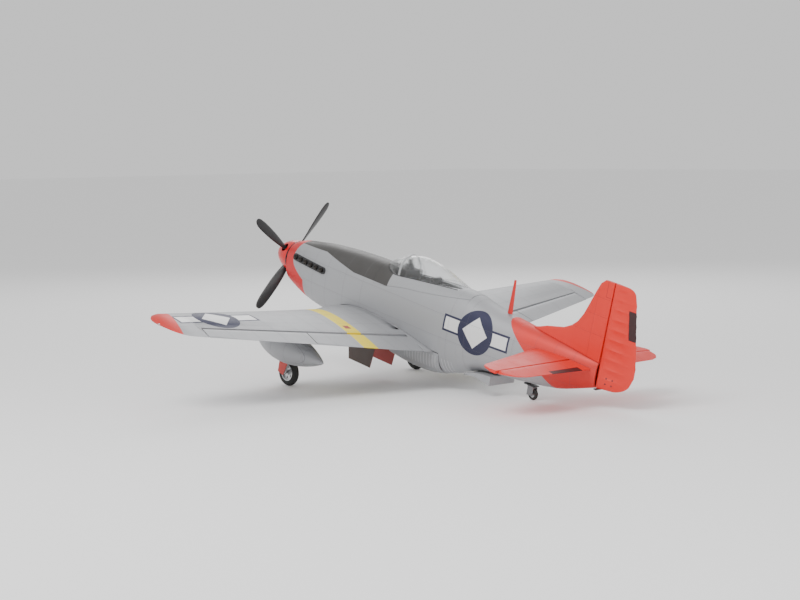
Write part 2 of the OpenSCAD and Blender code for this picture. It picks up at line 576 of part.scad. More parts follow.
module retract() {
  color("dimgray") {
    bar(pivot - 17 * axis_unit, pivot + 17 * axis_unit, pin_r);
    for (s = [-1, 1]) difference() {
      union() {
        bar(pivot + s * 9 * axis_unit, pivot + s * 14 * axis_unit, 9);
        translate([leg_x - 8, pivot_y + s * 11.5 - 2.2, pivot_z]) cube([16, 4.4, 10.5]);
      }
      bar(pivot - 20 * axis_unit, pivot + 20 * axis_unit, pin_r);
    }
    translate([leg_x - 16.5, pivot_y - 20.5, pivot_z + 9.9]) cube([33, 41, 2.8]);
  }
}
hub_r = 22;
module wheel() {
  color("silver") translate([track_half, axle_y, axle_z]) rotate([0, 90, 0]) difference() {
    union() {
      translate([0, 0, -wheel_w / 2 + 1]) cylinder(r = 7, h = wheel_w - 2, $fn = 40);
      translate([0, 0, -3]) cylinder(r = hub_r, h = 6, $fn = 64);
      rotate_extrude($fn = 64) translate([hub_r - 2.5, -7.5]) square([2.5, 15]);
    }
    translate([0, 0, -20]) cylinder(r = axle_r + fit, h = 40, $fn = 32);
    for (a = [0:60:300]) rotate([0, 0, a]) translate([13, 0, -20]) cylinder(r = 3, h = 40, $fn = 24);
  }
}
module tyre_shape(r, w, bore) {
  rotate([0, 90, 0]) rotate_extrude($fn = 64) intersection() {
    translate([bore, -w / 2]) square([r - bore, w]);
    union() {
      translate([r - w / 2, 0]) circle(r = w / 2, $fn = 32);
      translate([bore, -w * 0.44]) square([r - w / 2 - bore + 2, w * 0.88]);
    }
  }
}
module tyre() { color("black") translate([track_half, axle_y, axle_z]) tyre_shape(wheel_r, wheel_w, hub_r); }
door_x = keel_half + 2.6;
door_z = -100;
door_t = 2.2;
module gear_door() {
  color("firebrick") {
    translate([door_x - door_t / 2, 0, 0]) rotate([90, 0, 90]) linear_extrude(door_t)
      polygon([[352, door_z], [470, door_z], [455, door_z - 92], [372, door_z - 92]]);
    bar([door_x, 352, door_z], [door_x, 470, door_z], 2);
  }
}
module drop_tanks() {
  color("silver") both_sides() {
    translate([300, 305, -122]) rotate([-90, 0, 0]) rotate_extrude($fn = 64)
      polygon([for (i = [0:24]) let (t = i / 24) [40 * pow(sin(180 * pow(t, 0.86)), 0.8), 259 * t]]);
    translate([295, 410, -86]) cube([10, 62, min(wing_skin(295, 410, -1), wing_skin(295, 472, -1)) + 85]);
  }
}
spar_y = 470;
spar_z = -66;
spar_half = 185;
module spar_bar(r, half) {
  translate([-half, spar_y, spar_z]) rotate([0, 90, 0]) cylinder(r = r, h = 2 * half, $fn = 32);
}
module wing_spar() { color("black") spar_bar(5, spar_half); }
module wing_panel() {
  difference() {
    loft(panel_rings);
    wheel_well();
    spar_bar(5 + fit, spar_half + 1);
  }
}
module wing_left() { color("silver") wing_panel(); }
module wing_right() { color("silver") mirror([1, 0, 0]) wing_panel(); }
module wing_centre() {
  color("silver") difference() {
    loft([for (x = [-centre_half, centre_half]) wing_ring(x, wing_rear(x))]);
    both_sides() wheel_well();
    spar_bar(5 + fit, spar_half);
  }
}
module flap() { loft([for (x = [flap_start, 180, flap_end - 1.5]) surface_ring(x)]); }
module aileron() { loft([for (x = [flap_end + 1.5, 500, aileron_end]) surface_ring(x)]); }
module nav_lights() {
  color("lightgray") both_sides()
    translate([half_span + 0.2, wing_front(half_span) + 14, wing_mid(half_span) + 1])
    rotate([0, 90, 0]) cylinder(r = 2.4, h = 3, $fn = 24);
}
servo_x = [215, 520];
module wing_servos() {
  color("dimgray") both_sides() for (x = servo_x) {
    y = wing_hinge(x) - hinge_r(x) - 36;
    translate([x - 14, y - 12, min(wing_skin(x - 14, y + 14, -1), wing_skin(x - 14, y - 12, -1)) - 2.4])
      cube([28, 26, 2]);
  }
}

// ---- tail ----
stab_root_y = 985;
function stab_front(x) = let (u = clamp((x - 22) / (stab_half - 22), 0, 1),
    t = clamp((x - stab_half + 22) / 22, 0, 1))
  lerp(stab_root_y, 1046, u) + 30 * (1 - sqrt(1 - 0.97 * t^2));
function stab_r(x) = lerp(7, 3.6, clamp((x - 22) / (stab_half - 22), 0, 1));
// elliptic nose, then parallel sides
function nose_curve(s) = s < 0.6 ? sqrt(max(0, 1 - (1 - s / 0.6)^2)) : 1;
function stab_ring(x, root = false) =
  let (f = stab_front(x), e = elev_y - stab_r(x) - gap, r = stab_r(x), n = 9,
    ys = [for (i = [0:n]) lerp(f, e, crowd(i, n))],
    h = [for (y = ys) 0.25 + (r - 0.25) * nose_curve((y - f) / (e - f))])
  concat([for (i = [0:n]) [root ? skin_x(ys[i], stab_z - h[i]) + seam : x, ys[i], stab_z - h[i]]],
    [for (i = [n:-1:0]) [root ? skin_x(ys[i], stab_z + h[i]) + seam : x, ys[i], stab_z + h[i]]]);
module stabiliser() {
  loft([stab_ring(30, true), for (x = [46, 150, stab_half - 22, stab_half - 12, stab_half - 5, stab_half])
    stab_ring(x)]);
}
function elev_rear(x) = lerp(1152, 1143, x / stab_half) - 26 * pow(clamp((x - stab_half + 50) / 42, 0, 1), 2);
function elev_root(y) = along(WIDTH, min(y, tail_y)) + 2.6;
function elev_ring(x, root = false) =
  let (r = stab_r(x), rear = elev_rear(x),
    arc = [for (i = [0:4]) [elev_y - r * cos(22.5 * i), r * sin(22.5 * i)]],
    aft = [for (i = [1:4]) [lerp(elev_y, rear, i / 4), lerp(r, 0.7, pow(i / 4, 1.1))]],
    all = concat(arc, aft))
  concat([for (p = all) [root ? elev_root(p[0]) : x, p[0], stab_z - p[1]]],
    [for (i = [len(all) - 1:-1:0]) let (p = all[i]) [root ? elev_root(p[0]) : x, p[0], stab_z + p[1]]]);
elev_end = stab_half - 8;
module elevators() {
  color("red") {
    rings = [elev_ring(24, true),
      for (x = [40, 150, elev_end - 42, elev_end - 20, elev_end - 8, elev_end]) elev_ring(x)];
    loft(rings);
    loft(mirrored(rings));
  }
}
joiner_r = 2;
module elevator_joiner() {
  w = elev_root(elev_y) - 0.3;
  color("dimgray") {
    translate([-w, elev_y, stab_z]) rotate([0, 90, 0]) cylinder(r = joiner_r, h = 2 * w, $fn = 32);
    translate([-2, elev_y - 2, stab_z - 22]) cube([4, 4, 21]);
  }
}
// fin: rings stacked upwards, the lowest follows the fuselage's spine
FIN_FRONT = [[66, 955], [80, 990], [92, 1041], [118, 1079], [169, 1105], [223, 1128], [234, 1141]];
function tail_half(z) = lerp(9.3, 4.6, clamp(z / fin_top, 0, 1));
function fin_ring(z, base = false) =
  let (f = base ? 950 : along(FIN_FRONT, z), e = rudder_y - tail_half(z) - gap, n = 12,
    ys = [for (i = [0:n]) lerp(f, e, crowd(i, n))],
    h = [for (y = ys) 0.3 + (tail_half(z) - 0.3) * nose_curve(clamp((y - f) / (e - f), 0, 1))])
  concat([for (i = [0:n]) [-h[i], ys[i], base ? along(TOP, ys[i]) + seam : z]],
    [for (i = [n:-1:0]) [h[i], ys[i], base ? along(TOP, ys[i]) + seam : z]]);
module fin() {
  color("red") loft([for (k = [0:1]) each k == 0 ? [fin_ring(50, true)]
    : [for (z = [72, 80, 92, 104, 118, 140, 169, 200, 223, fin_top]) fin_ring(z)]]);
}
RUDDER_REAR = [[-14, 1192], [-9, 1218], [-2, 1239], [10, 1254], [25, 1264], [48, 1269], [130, 1254],
  [215, 1237], [228, 1229], [234, 1214]];
function rudder_ring(z) =
  let (r = tail_half(z), rear = along(RUDDER_REAR, z),
    arc = [for (i = [0:4]) [rudder_y - r * cos(22.5 * i), r * sin(22.5 * i)]],
    aft = [for (i = [1:4]) [lerp(rudder_y, rear, i / 4), lerp(r, 0.8, pow(i / 4, 1.15))]],
    all = concat(arc, aft))
  concat([for (p = all) [-p[1], p[0], z]], [for (i = [len(all) - 1:-1:0]) [all[i][1], all[i][0], z]]);
module rudder() {
  color("red")
    loft([for (z = [rudder_low, -9, -2, 10, 25, 48, 90, 130, 175, 215, 228, fin_top]) rudder_ring(z)]);
}
module rudder_horn() {
  color("black") translate([-20, rudder_y - 2, rudder_low - 2.3]) cube([40, 8, 2]);
}
module tail_servos() {
  w = skin_x(838, -32) - wall - 0.9;
  color("burlywood") translate([-w, 798, -33]) cube([2 * w, 40, 3]);
  color("dimgray") both_sides() translate([5, 800, -30.1]) cube([20, 36, 30]);
}
steer_y = 972;
bracket_z = -74.4;
module tail_bracket() {
  color("black") difference() {
    translate([-9, 955, bracket_z]) cube([18, 34, 2.8]);
    translate([0, steer_y, bracket_z - 1]) cylinder(r = 2 + fit, h = 6, $fn = 32);
  }
}
tail_w = 9;
module tail_strut() {
  color("dimgray") {
    translate([0, steer_y, bracket_z - 3]) cylinder(r = 2, h = 26, $fn = 32);
    translate([-8, steer_y - 5, bracket_z - 3.9]) cube([16, 18, 3.4]);
    both_sides() difference() {
      translate([6, steer_y - 4, tail_axle_z - 4]) cube([2, 18, bracket_z - 3 - tail_axle_z + 3.6]);
      translate([0, tail_axle_y, tail_axle_z]) rotate([0, 90, 0]) cylinder(r = 1.5, h = 12, $fn = 32);
    }
    translate([-9, tail_axle_y, tail_axle_z]) rotate([0, 90, 0]) cylinder(r = 1.5, h = 18, $fn = 32);
  }
}
tail_hub_r = 8;
module tail_wheel() {
  color("silver") translate([0, tail_axle_y, tail_axle_z]) rotate([0, 90, 0]) difference() {
    union() {
      translate([0, 0, -tail_w / 2]) cylinder(r = 3.2, h = tail_w, $fn = 32);
      translate([0, 0, -tail_w / 2 + 1.5]) cylinder(r = tail_hub_r, h = tail_w - 3, $fn = 48);
    }
    translate([0, 0, -9]) cylinder(r = 1.5 + fit, h = 18, $fn = 32);
  }
}
module tail_tyre() {
  color("black") translate([0, tail_axle_y, tail_axle_z]) tyre_shape(tail_r, tail_w, tail_hub_r);
}

// ---- pieces made twice ----
module flap_left() { color("silver") flap(); }
module flap_right() { color("silver") mirror([1, 0, 0]) flap(); }
module aileron_left() { color("silver") aileron(); }
module aileron_right() { color("silver") mirror([1, 0, 0]) aileron(); }
module retract_left() { retract(); }
module retract_right() { mirror([1, 0, 0]) retract(); }
module gear_leg_left() { gear_leg(); }
module gear_leg_right() { mirror([1, 0, 0]) gear_leg(); }
module gear_fairing_left() { gear_fairing(); }
module gear_fairing_right() { mirror([1, 0, 0]) gear_fairing(); }
module wheel_left() { wheel(); }
module wheel_right() { mirror([1, 0, 0]) wheel(); }
module tyre_left() { tyre(); }
module tyre_right() { mirror([1, 0, 0]) tyre(); }
module gear_door_left() { gear_door(); }
module gear_door_right() { mirror([1, 0, 0]) gear_door(); }
module stabiliser_left() { color("red") stabiliser(); }
module stabiliser_right() { color("red") mirror([1, 0, 0]) stabiliser(); }

stand() fuselage_left();
stand() fuselage_right();
stand() nose_cowl();
stand() spinner();
stand() spinner_backplate();
stand() propeller();
stand() motor_can();
stand() motor_shaft();
stand() firewall();
stand() exhaust_stacks();
stand() battery();
stand() battery_tray();
stand() speed_controller();
stand() receiver();
stand() belly_scoop();
stand() belly_fairing();
stand() radiator_flap();
stand() hatch();
stand() windscreen();
stand() canopy_glass();
stand() windscreen_frame();
stand() cockpit_floor();
stand() instrument_panel();
stand() seat();
stand() antenna_mast();
stand() wing_centre();
stand() wing_left();
stand() wing_right();
stand() wing_spar();
stand() flap_left();
stand() flap_right();
stand() aileron_left();
stand() aileron_right();
stand() drop_tanks();
stand() nav_lights();
stand() wing_servos();
stand() retract_left();
stand() retract_right();
stand() gear_leg_left();
stand() gear_leg_right();
stand() gear_fairing_left();
stand() gear_fairing_right();
stand() wheel_left();
stand() wheel_right();
stand() tyre_left();
stand() tyre_right();
stand() gear_door_left();
stand() gear_door_right();
stand() fin();
stand() rudder();
stand() rudder_horn();
stand() stabiliser_left();
stand() stabiliser_right();
stand() elevators();
stand() elevator_joiner();
stand() tail_servos();
stand() tail_bracket();
stand() tail_strut();
stand() tail_wheel();
stand() tail_tyre();
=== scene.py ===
# %% [markdown]
# # A foam radio-control warbird
# The model is a 1.45 m foam airplane: silver painted foam, a red nose and tail, a clear bubble
# canopy and working landing gear. The CAD frame already holds every piece at its true size and
# on its true hinge, so this lesson only gives the pieces their finish and their fine detail.
# Everything is in metres, in the frame of the model as it stands on its three wheels.

# %% Load the frame
import json
import math

import bmesh
import bpy
import numpy as np
from mathutils import Matrix, Vector


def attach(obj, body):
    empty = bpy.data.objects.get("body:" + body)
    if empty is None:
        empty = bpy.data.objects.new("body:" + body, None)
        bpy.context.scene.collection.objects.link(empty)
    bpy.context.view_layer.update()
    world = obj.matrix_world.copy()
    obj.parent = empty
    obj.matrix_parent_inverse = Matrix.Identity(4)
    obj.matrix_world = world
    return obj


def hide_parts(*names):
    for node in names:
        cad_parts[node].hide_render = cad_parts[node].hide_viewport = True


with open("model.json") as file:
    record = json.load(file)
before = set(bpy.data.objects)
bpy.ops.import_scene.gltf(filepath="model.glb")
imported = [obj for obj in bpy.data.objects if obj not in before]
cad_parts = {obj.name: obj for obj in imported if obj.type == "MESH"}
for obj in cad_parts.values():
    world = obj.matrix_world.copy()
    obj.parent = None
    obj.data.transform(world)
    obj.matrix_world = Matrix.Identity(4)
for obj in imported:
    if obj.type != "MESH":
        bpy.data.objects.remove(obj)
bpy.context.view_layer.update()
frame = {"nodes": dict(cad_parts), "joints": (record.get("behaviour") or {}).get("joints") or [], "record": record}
joints = {j["name"]: j for j in frame["joints"]}
body_of_node = {n: b for b, ns in frame["record"]["behaviour"]["bodies"].items() for n in ns}

# %% [markdown]
# A tail-dragger sits nose up, but its frames, ribs and paint lines are drawn on the airframe's own
# axes. The rudder's hinge is the airframe's vertical, and the propeller's hub lies on its thrust
# line, so those two joints give the turn and the shift between the two sets of axes.

# %% Airframe axes
HUB_STATION = 0.054          # how far the propeller disc lies behind the spinner's tip
up = Vector(joints["rudder_hinge"]["axis"])
pitch = math.atan2(up.y, up.z)
turn = Matrix.Rotation(-pitch, 3, "X")
nose_tip = Vector(joints["propeller_spin"]["pos_m"]) - turn @ Vector((0, HUB_STATION, 0))


def place(x, y, z):
    """A point on the airframe's own axes, in the standing model's frame."""
    return turn @ Vector((x, y, z)) + nose_tip


print("nose up by", round(math.degrees(pitch), 2), "degrees")

# %% [markdown]
# ## Camera, light and floor
# The camera stands off the left side of the tail at about wing height, with a long lens, so the
# model shows little perspective. The light is a plain studio: a pale floor, a bright even sky
# and two large soft lamps.

# %% Camera
camera_data = bpy.data.cameras.new("camera")
camera_data.lens = 80.9
camera_data.sensor_width = 36.0
camera = bpy.data.objects.new("camera", camera_data)
bpy.context.scene.collection.objects.link(camera)
VIEW_SIDE = turn @ Vector((-0.72829, 0.67011, 0.14334))
VIEW_UP = turn @ Vector((-0.06647, -0.27727, 0.95849))
VIEW_BACK = VIEW_SIDE.cross(VIEW_UP)
view_axes = Matrix((VIEW_SIDE, VIEW_UP, VIEW_BACK)).transposed().to_4x4()
camera.matrix_world = Matrix.Translation(place(3.1389, 3.6578, 1.1321)) @ view_axes
bpy.context.scene.camera = camera
print("camera at", tuple(round(c, 2) for c in camera.location))

# %% Light and floor
world = bpy.data.worlds.new("studio")
bpy.context.scene.world = world
world.use_nodes = True
sky = world.node_tree.nodes["Background"]
sky.inputs["Color"].default_value = (1.0, 1.0, 1.0, 1)
sky.inputs["Strength"].default_value = 0.85


def soft_lamp(name, place_at, aim, size, power):
    """A square area lamp that looks at a point."""
    lamp_data = bpy.data.lights.new(name, "AREA")
    lamp_data.size = size
    lamp_data.energy = power
    lamp = bpy.data.objects.new(name, lamp_data)
    lamp.location = place_at
    lamp.rotation_euler = (Vector(aim) - Vector(place_at)).to_track_quat("-Z", "Y").to_euler()
    bpy.context.scene.collection.objects.link(lamp)


soft_lamp("key", (2.6, 0.6, 2.6), (0, 0, 0.2), 1.6, 75)
soft_lamp("fill", (1.0, 3.4, 1.2), (0, 0, 0.2), 2.2, 35)
soft_lamp("front", (-2.2, -2.4, 2.4), (0, 0, 0.2), 2.0, 45)

floor_mesh = bpy.data.meshes.new("floor")
FLOOR_HALF = 30.0
floor_mesh.from_pydata([(-FLOOR_HALF, -FLOOR_HALF, 0), (FLOOR_HALF, -FLOOR_HALF, 0),
                        (FLOOR_HALF, FLOOR_HALF, 0), (-FLOOR_HALF, FLOOR_HALF, 0)], [], [(0, 1, 2, 3)])
floor = bpy.data.objects.new("floor", floor_mesh)
bpy.context.scene.collection.objects.link(floor)
floor_paint = bpy.data.materials.new("floor")
floor_paint.use_nodes = True
floor_paint.node_tree.nodes["Principled BSDF"].inputs["Base Color"].default_value = (0.93, 0.93, 0.93, 1)
floor_paint.node_tree.nodes["Principled BSDF"].inputs["Roughness"].default_value = 0.9
floor_mesh.materials.append(floor_paint)
print("studio ready")

# %% [markdown]
# ## Writing a paint scheme as arithmetic
# A paint scheme is a set of areas on the airframe: a band, a disc, everything behind a line. Each
# is a number between 0 and 1 worked out from the point's place. A small helper keeps the
# node trees short: it turns one sum or test into one Math node and gives back its output.

# %% Node helper
class Finish:
    """A material whose nodes are made by calls; sockets and plain numbers mix freely."""

    def __init__(self, name, roughness=0.5, metallic=0.0, colour=(0.5, 0.5, 0.5)):
        self.material = bpy.data.materials.new(name)
        self.material.use_nodes = True
        self.tree = self.material.node_tree
        self.shader = self.tree.nodes["Principled BSDF"]
        self.shader.inputs["Roughness"].default_value = roughness
        self.shader.inputs["Metallic"].default_value = metallic
        self.shader.inputs["Base Color"].default_value = (*colour, 1)
        self.coat(0.0, 0.1)

    def coat(self, weight, roughness):
        self.shader.inputs["Coat Weight"].default_value = weight
        self.shader.inputs["Coat Roughness"].default_value = roughness

    def wire(self, value, socket):
        if hasattr(value, "is_output"):
            self.tree.links.new(value, socket)
        else:
            socket.default_value = value

    def math(self, operation, *values, clamp=False):
        node = self.tree.nodes.new("ShaderNodeMath")
        node.operation = operation
        node.use_clamp = clamp
        for value, socket in zip(values, node.inputs):
            self.wire(value, socket)
        return node.outputs[0]

    def airframe(self):
        """Three sockets: x, y and z on the airframe's own axes, in metres."""
        where = self.tree.nodes.new("ShaderNodeTexCoord").outputs["Object"]
        mapping = self.tree.nodes.new("ShaderNodeMapping")
        mapping.inputs["Rotation"].default_value = (pitch, 0, 0)
        mapping.inputs["Location"].default_value = -(Matrix.Rotation(pitch, 3, "X") @ nose_tip)
        self.tree.links.new(where, mapping.inputs["Vector"])
        self.where = mapping.outputs[0]
        split = self.tree.nodes.new("ShaderNodeSeparateXYZ")
        self.tree.links.new(self.where, split.inputs[0])
        return split.outputs

    def step(self, value, at, soft=0.0006):
        """0 below at, 1 above it, with a short soft edge."""
        scaled = self.math("DIVIDE", self.math("SUBTRACT", value, at), soft)
        return self.math("ADD", scaled, 0.5, clamp=True)

    def between(self, value, low, high):
        past_low = self.step(value, low)
        return self.math("MULTIPLY", past_low, self.math("SUBTRACT", 1.0, self.step(value, high)))

    def both(self, *masks):
        result = masks[0]
        for mask in masks[1:]:
            result = self.math("MULTIPLY", result, mask)
        return result

    def either(self, *masks):
        result = masks[0]
        for mask in masks[1:]:
            result = self.math("MAXIMUM", result, mask)
        return result

    def inverse(self, mask):
        return self.math("SUBTRACT", 1.0, mask)

    def line(self, value, at, half=0.00045):
        """A thin line where value passes at."""
        gap = self.math("ABSOLUTE", self.math("SUBTRACT", value, at))
        return self.math("SUBTRACT", 1.0, self.math("DIVIDE", gap, half), clamp=True)

    def distance(self, a, b):
        return self.math("SQRT", self.math("ADD", self.math("MULTIPLY", a, a), self.math("MULTIPLY", b, b)))

    def mix(self, mask, under, over):
        node = self.tree.nodes.new("ShaderNodeMix")
        node.data_type = "RGBA"
        colours = [socket for socket in node.inputs if socket.type == "RGBA"]
        self.wire(mask, node.inputs[0])
        for value, socket in zip((under, over), colours):
            self.wire(value if hasattr(value, "is_output") else (*value, 1), socket)
        return next(socket for socket in node.outputs if socket.type == "RGBA")

    def noise(self, scale, detail=3.0):
        node = self.tree.nodes.new("ShaderNodeTexNoise")
        node.inputs["Scale"].default_value = scale
        node.inputs["Detail"].default_value = detail
        self.tree.links.new(self.where, node.inputs["Vector"])
        return node.outputs["Fac"]

    def beads(self, scale):
        node = self.tree.nodes.new("ShaderNodeTexVoronoi")
        node.inputs["Scale"].default_value = scale
        self.tree.links.new(self.where, node.inputs["Vector"])
        return node.outputs["Distance"]

    def bump(self, height, distance, strength=1.0):
        node = self.tree.nodes.new("ShaderNodeBump")
        node.inputs["Distance"].default_value = distance
        node.inputs["Strength"].default_value = strength
        self.wire(height, node.inputs["Height"])
        self.tree.links.new(node.outputs[0], self.shader.inputs["Normal"])

    def colour(self, socket):
        self.wire(socket, self.shader.inputs["Base Color"])

    def roughness(self, socket):
        self.wire(socket, self.shader.inputs["Roughness"])


print("helper ready")

# %% [markdown]
# ## Silver painted foam
# Moulded foam has fine panel grooves, and its paint is a satin silver that is never quite even.
# The grooves could be cut into the mesh, but they are under a millimetre wide, so they are drawn
# as thin dark lines that also press the surface in. Behind them lies a faint bead pattern, which
# is the foam itself showing through the paint.

# %% Shared paint colours
SILVER = (0.37, 0.375, 0.39)
RED = (0.66, 0.010, 0.012)
TAIL_RED = (0.70, 0.022, 0.012)
YELLOW = (0.84, 0.66, 0.0)
NAVY = (0.006, 0.007, 0.045)
WHITE = (0.80, 0.80, 0.80)
GLARE = (0.052, 0.049, 0.046)
GROOVE = (0.10, 0.10, 0.11)
DARK_GREY = (0.008, 0.008, 0.009)


def foam_paint(finish, colour, grooves, gloss=0.42):
    """Puts grooves, patchy tone and the foam's beads on top of a paint scheme."""
    patch = finish.math("MULTIPLY", finish.math("SUBTRACT", finish.noise(9.0), 0.5), 0.16)
    toned = finish.mix(finish.math("ADD", 0.08, patch, clamp=True), colour, (0.30, 0.30, 0.31))
    finish.colour(finish.mix(finish.math("MULTIPLY", grooves, 0.75), toned, GROOVE))
    finish.roughness(finish.math("ADD", gloss, finish.math("MULTIPLY", finish.noise(45.0), 0.14)))
    height = finish.math("MULTIPLY", finish.beads(260.0), 0.22)
    finish.bump(finish.math("SUBTRACT", height, grooves), 0.0004, 0.5)


def rivet_dots(finish, along, across, at, pitch_m=0.006, radius=0.0007):
    """A row of flush rivets beside a groove: dots every few millimetres."""
    cell = finish.math("SUBTRACT", finish.math("FRACT", finish.math("DIVIDE", along, pitch_m)), 0.5)
    a = finish.math("MULTIPLY", cell, pitch_m)
    b = finish.math("SUBTRACT", across, at)
    return finish.math("SUBTRACT", 1.0, finish.step(finish.distance(a, b), radius, 0.0004))


def roundel(finish, colour, along, across, radius, bar_half, bar_height):
    """A navy disc with a plain white lozenge, and a plain white bar on either side of it."""
    a = finish.math("ABSOLUTE", along)
    b = finish.math("ABSOLUTE", across)
    edge = radius * 0.10
    bar_edge = finish.both(finish.inverse(finish.step(a, bar_half + edge)),
                           finish.inverse(finish.step(b, bar_height + edge)))
    bar = finish.both(finish.inverse(finish.step(a, bar_half)), finish.inverse(finish.step(b, bar_height)))
    disc = finish.inverse(finish.step(finish.distance(along, across), radius))
    lozenge = finish.inverse(finish.step(finish.math("ADD", a, b), radius * 0.72))
    colour = finish.mix(bar_edge, colour, NAVY)
    colour = finish.mix(bar, colour, WHITE)
    colour = finish.mix(disc, colour, NAVY)
    return finish.mix(lozenge, colour, WHITE)


# %% [markdown]
# ### Fuselage paint
# The nose is red back to a curved line, a dull dark panel on top keeps glare out of the pilot's
# eyes, and the red of the tail starts along a slanting line. Each edge is a small formula
# in y and z, so it lies true on any piece that carries this paint. The scoop's flank gets a row
# of pale stripes, one every 10 mm, a painted highlight for the lit lips of its slots, because the real slots are too
# shallow to model.

# %% Fuselage paint
FRAME_STATIONS = (0.205, 0.262, 0.335, 0.405, 0.728, 0.785, 0.930, 0.990, 1.045, 1.100)
STRINGER_HEIGHTS = (0.028, -0.030)
fuselage_paint = Finish("fuselage paint", metallic=0.35)
x, y, z = fuselage_paint.airframe()
p = fuselage_paint
grooves = p.either(*[p.line(y, station) for station in FRAME_STATIONS],
                   *[p.both(p.line(z, height), p.step(y, 0.15)) for height in STRINGER_HEIGHTS])
dots = p.either(*[rivet_dots(p, z, y, station + 0.0035) for station in FRAME_STATIONS],
                *[p.both(rivet_dots(p, y, z, height - 0.0035), p.step(y, 0.15))
                  for height in STRINGER_HEIGHTS])
rising = p.math("ADD", 0.045, p.math("MULTIPLY", y, 0.06))
falling = p.math("SUBTRACT", 0.095, p.math("MULTIPLY", y, 0.155))
glare_edge = p.math("MAXIMUM", 0.039, p.math("MINIMUM", rising, falling))
glare = p.both(p.step(p.math("SUBTRACT", z, glare_edge), 0.0), p.step(0.492, y))
bow = p.math("DIVIDE", p.math("SUBTRACT", z, 0.012), 0.05)
sweep = p.math("ADD", 0.012, p.math("MULTIPLY", p.inverse(p.step(z, 0.012)), 0.045))
swept_back = p.math("MULTIPLY", p.math("MULTIPLY", bow, bow), sweep)
nose_edge = p.math("MINIMUM", 0.165, p.math("ADD", 0.113, swept_back))
nose_red = p.step(p.math("SUBTRACT", nose_edge, y), 0.0)
tail_edge = p.math("ADD", 0.966, p.math("MULTIPLY", p.math("SUBTRACT", 0.011, z), 1.31))
tail_red = p.step(p.math("SUBTRACT", y, tail_edge), 0.0)
colour = p.mix(glare, SILVER, GLARE)
side_z = p.math("SUBTRACT", z, 0.012)
side_y = p.math("SUBTRACT", y, 0.815)
colour = roundel(p, colour, side_y, side_z, 0.054, 0.098, 0.0155)
# Pale stripes on the scoop's flank: a painted highlight for the lit lips of the slots.
LOUVRE_PITCH = 0.010
slot_place = p.math("SUBTRACT", p.math("FRACT", p.math("DIVIDE", y, LOUVRE_PITCH)), 0.5)
slot_highlight = p.inverse(p.step(p.math("ABSOLUTE", slot_place), 0.09, 0.05))
slot_highlights = p.both(slot_highlight, p.between(y, 0.585, 0.745), p.between(z, -0.118, -0.084))
colour = p.mix(slot_highlights, colour, (0.60, 0.60, 0.62))
colour = p.mix(nose_red, colour, RED)
colour = p.mix(tail_red, colour, TAIL_RED)
foam_paint(p, colour, p.either(grooves, p.math("MULTIPLY", dots, 0.55)))
print("fuselage paint", len(p.tree.nodes), "nodes")

# %% [markdown]
# ### Wing paint
# The wing's ribs run fore and aft, but its spanwise grooves follow the taper. So the second
# coordinate is the share of the chord, worked out from the straight leading and trailing edges.

# %% Wing paint
RIB_STATIONS = (0.118, 0.160, 0.262, 0.322, 0.385, 0.452, 0.520, 0.590, 0.655)
CHORD_SHARES = (0.13, 0.33, 0.55, 0.71)
wing_paint = Finish("wing paint", metallic=0.35)
x, y, z = wing_paint.airframe()
p = wing_paint
out = p.math("ABSOLUTE", x)
lead = p.math("ADD", 0.350, p.math("MULTIPLY", out, 0.0524))
chord = p.math("SUBTRACT", 0.350, p.math("MULTIPLY", out, 0.2731))
share = p.math("DIVIDE", p.math("SUBTRACT", y, lead), chord)
ribs = p.either(*[p.line(out, station) for station in RIB_STATIONS])
spanwise = p.either(*[p.line(share, s, 0.0018) for s in CHORD_SHARES])
rib_dots = p.either(*[rivet_dots(p, y, out, station + 0.0035) for station in RIB_STATIONS])
span_dots = p.either(*[rivet_dots(p, out, p.math("MULTIPLY", p.math("SUBTRACT", share, s), chord), 0.0035)
                       for s in CHORD_SHARES])
slant = p.math("MULTIPLY", p.math("SUBTRACT", y, 0.350), 0.105)
across = p.math("SUBTRACT", out, slant)
band = p.between(across, 0.181, 0.222)
band_mark = p.both(p.between(across, 0.194, 0.211), p.between(share, 0.60, 0.66))
tip = p.step(p.math("SUBTRACT", out, p.math("MULTIPLY", p.math("SUBTRACT", y, 0.39), 0.33)), 0.665)
upper_left = p.both(p.step(x, 0.0), p.step(p.math("SUBTRACT", z, p.math("MULTIPLY", out, 0.08)), -0.078))
span_at = p.math("SUBTRACT", x, 0.568)
chord_at = p.math("SUBTRACT", y, 0.462)
colour = p.mix(band, SILVER, YELLOW)
colour = p.mix(band_mark, colour, (0.35, 0.03, 0.02))
marked = roundel(p, SILVER, span_at, chord_at, 0.058, 0.112, 0.017)
near = p.both(upper_left, p.between(x, 0.42, 0.70))
colour = p.mix(near, colour, marked)
colour = p.mix(tip, colour, TAIL_RED)
foam_paint(p, colour, p.either(ribs, spanwise, p.math("MULTIPLY", p.either(rib_dots, span_dots), 0.55)))
print("wing paint", len(p.tree.nodes), "nodes")

# %% [markdown]
# ### Tail paint
# The tail is one strong orange red. It has the same grooves, along the ribs of the stabiliser
# and the fin, and the same dotted rivets. Two more lines mark the balance horn of the rudder.

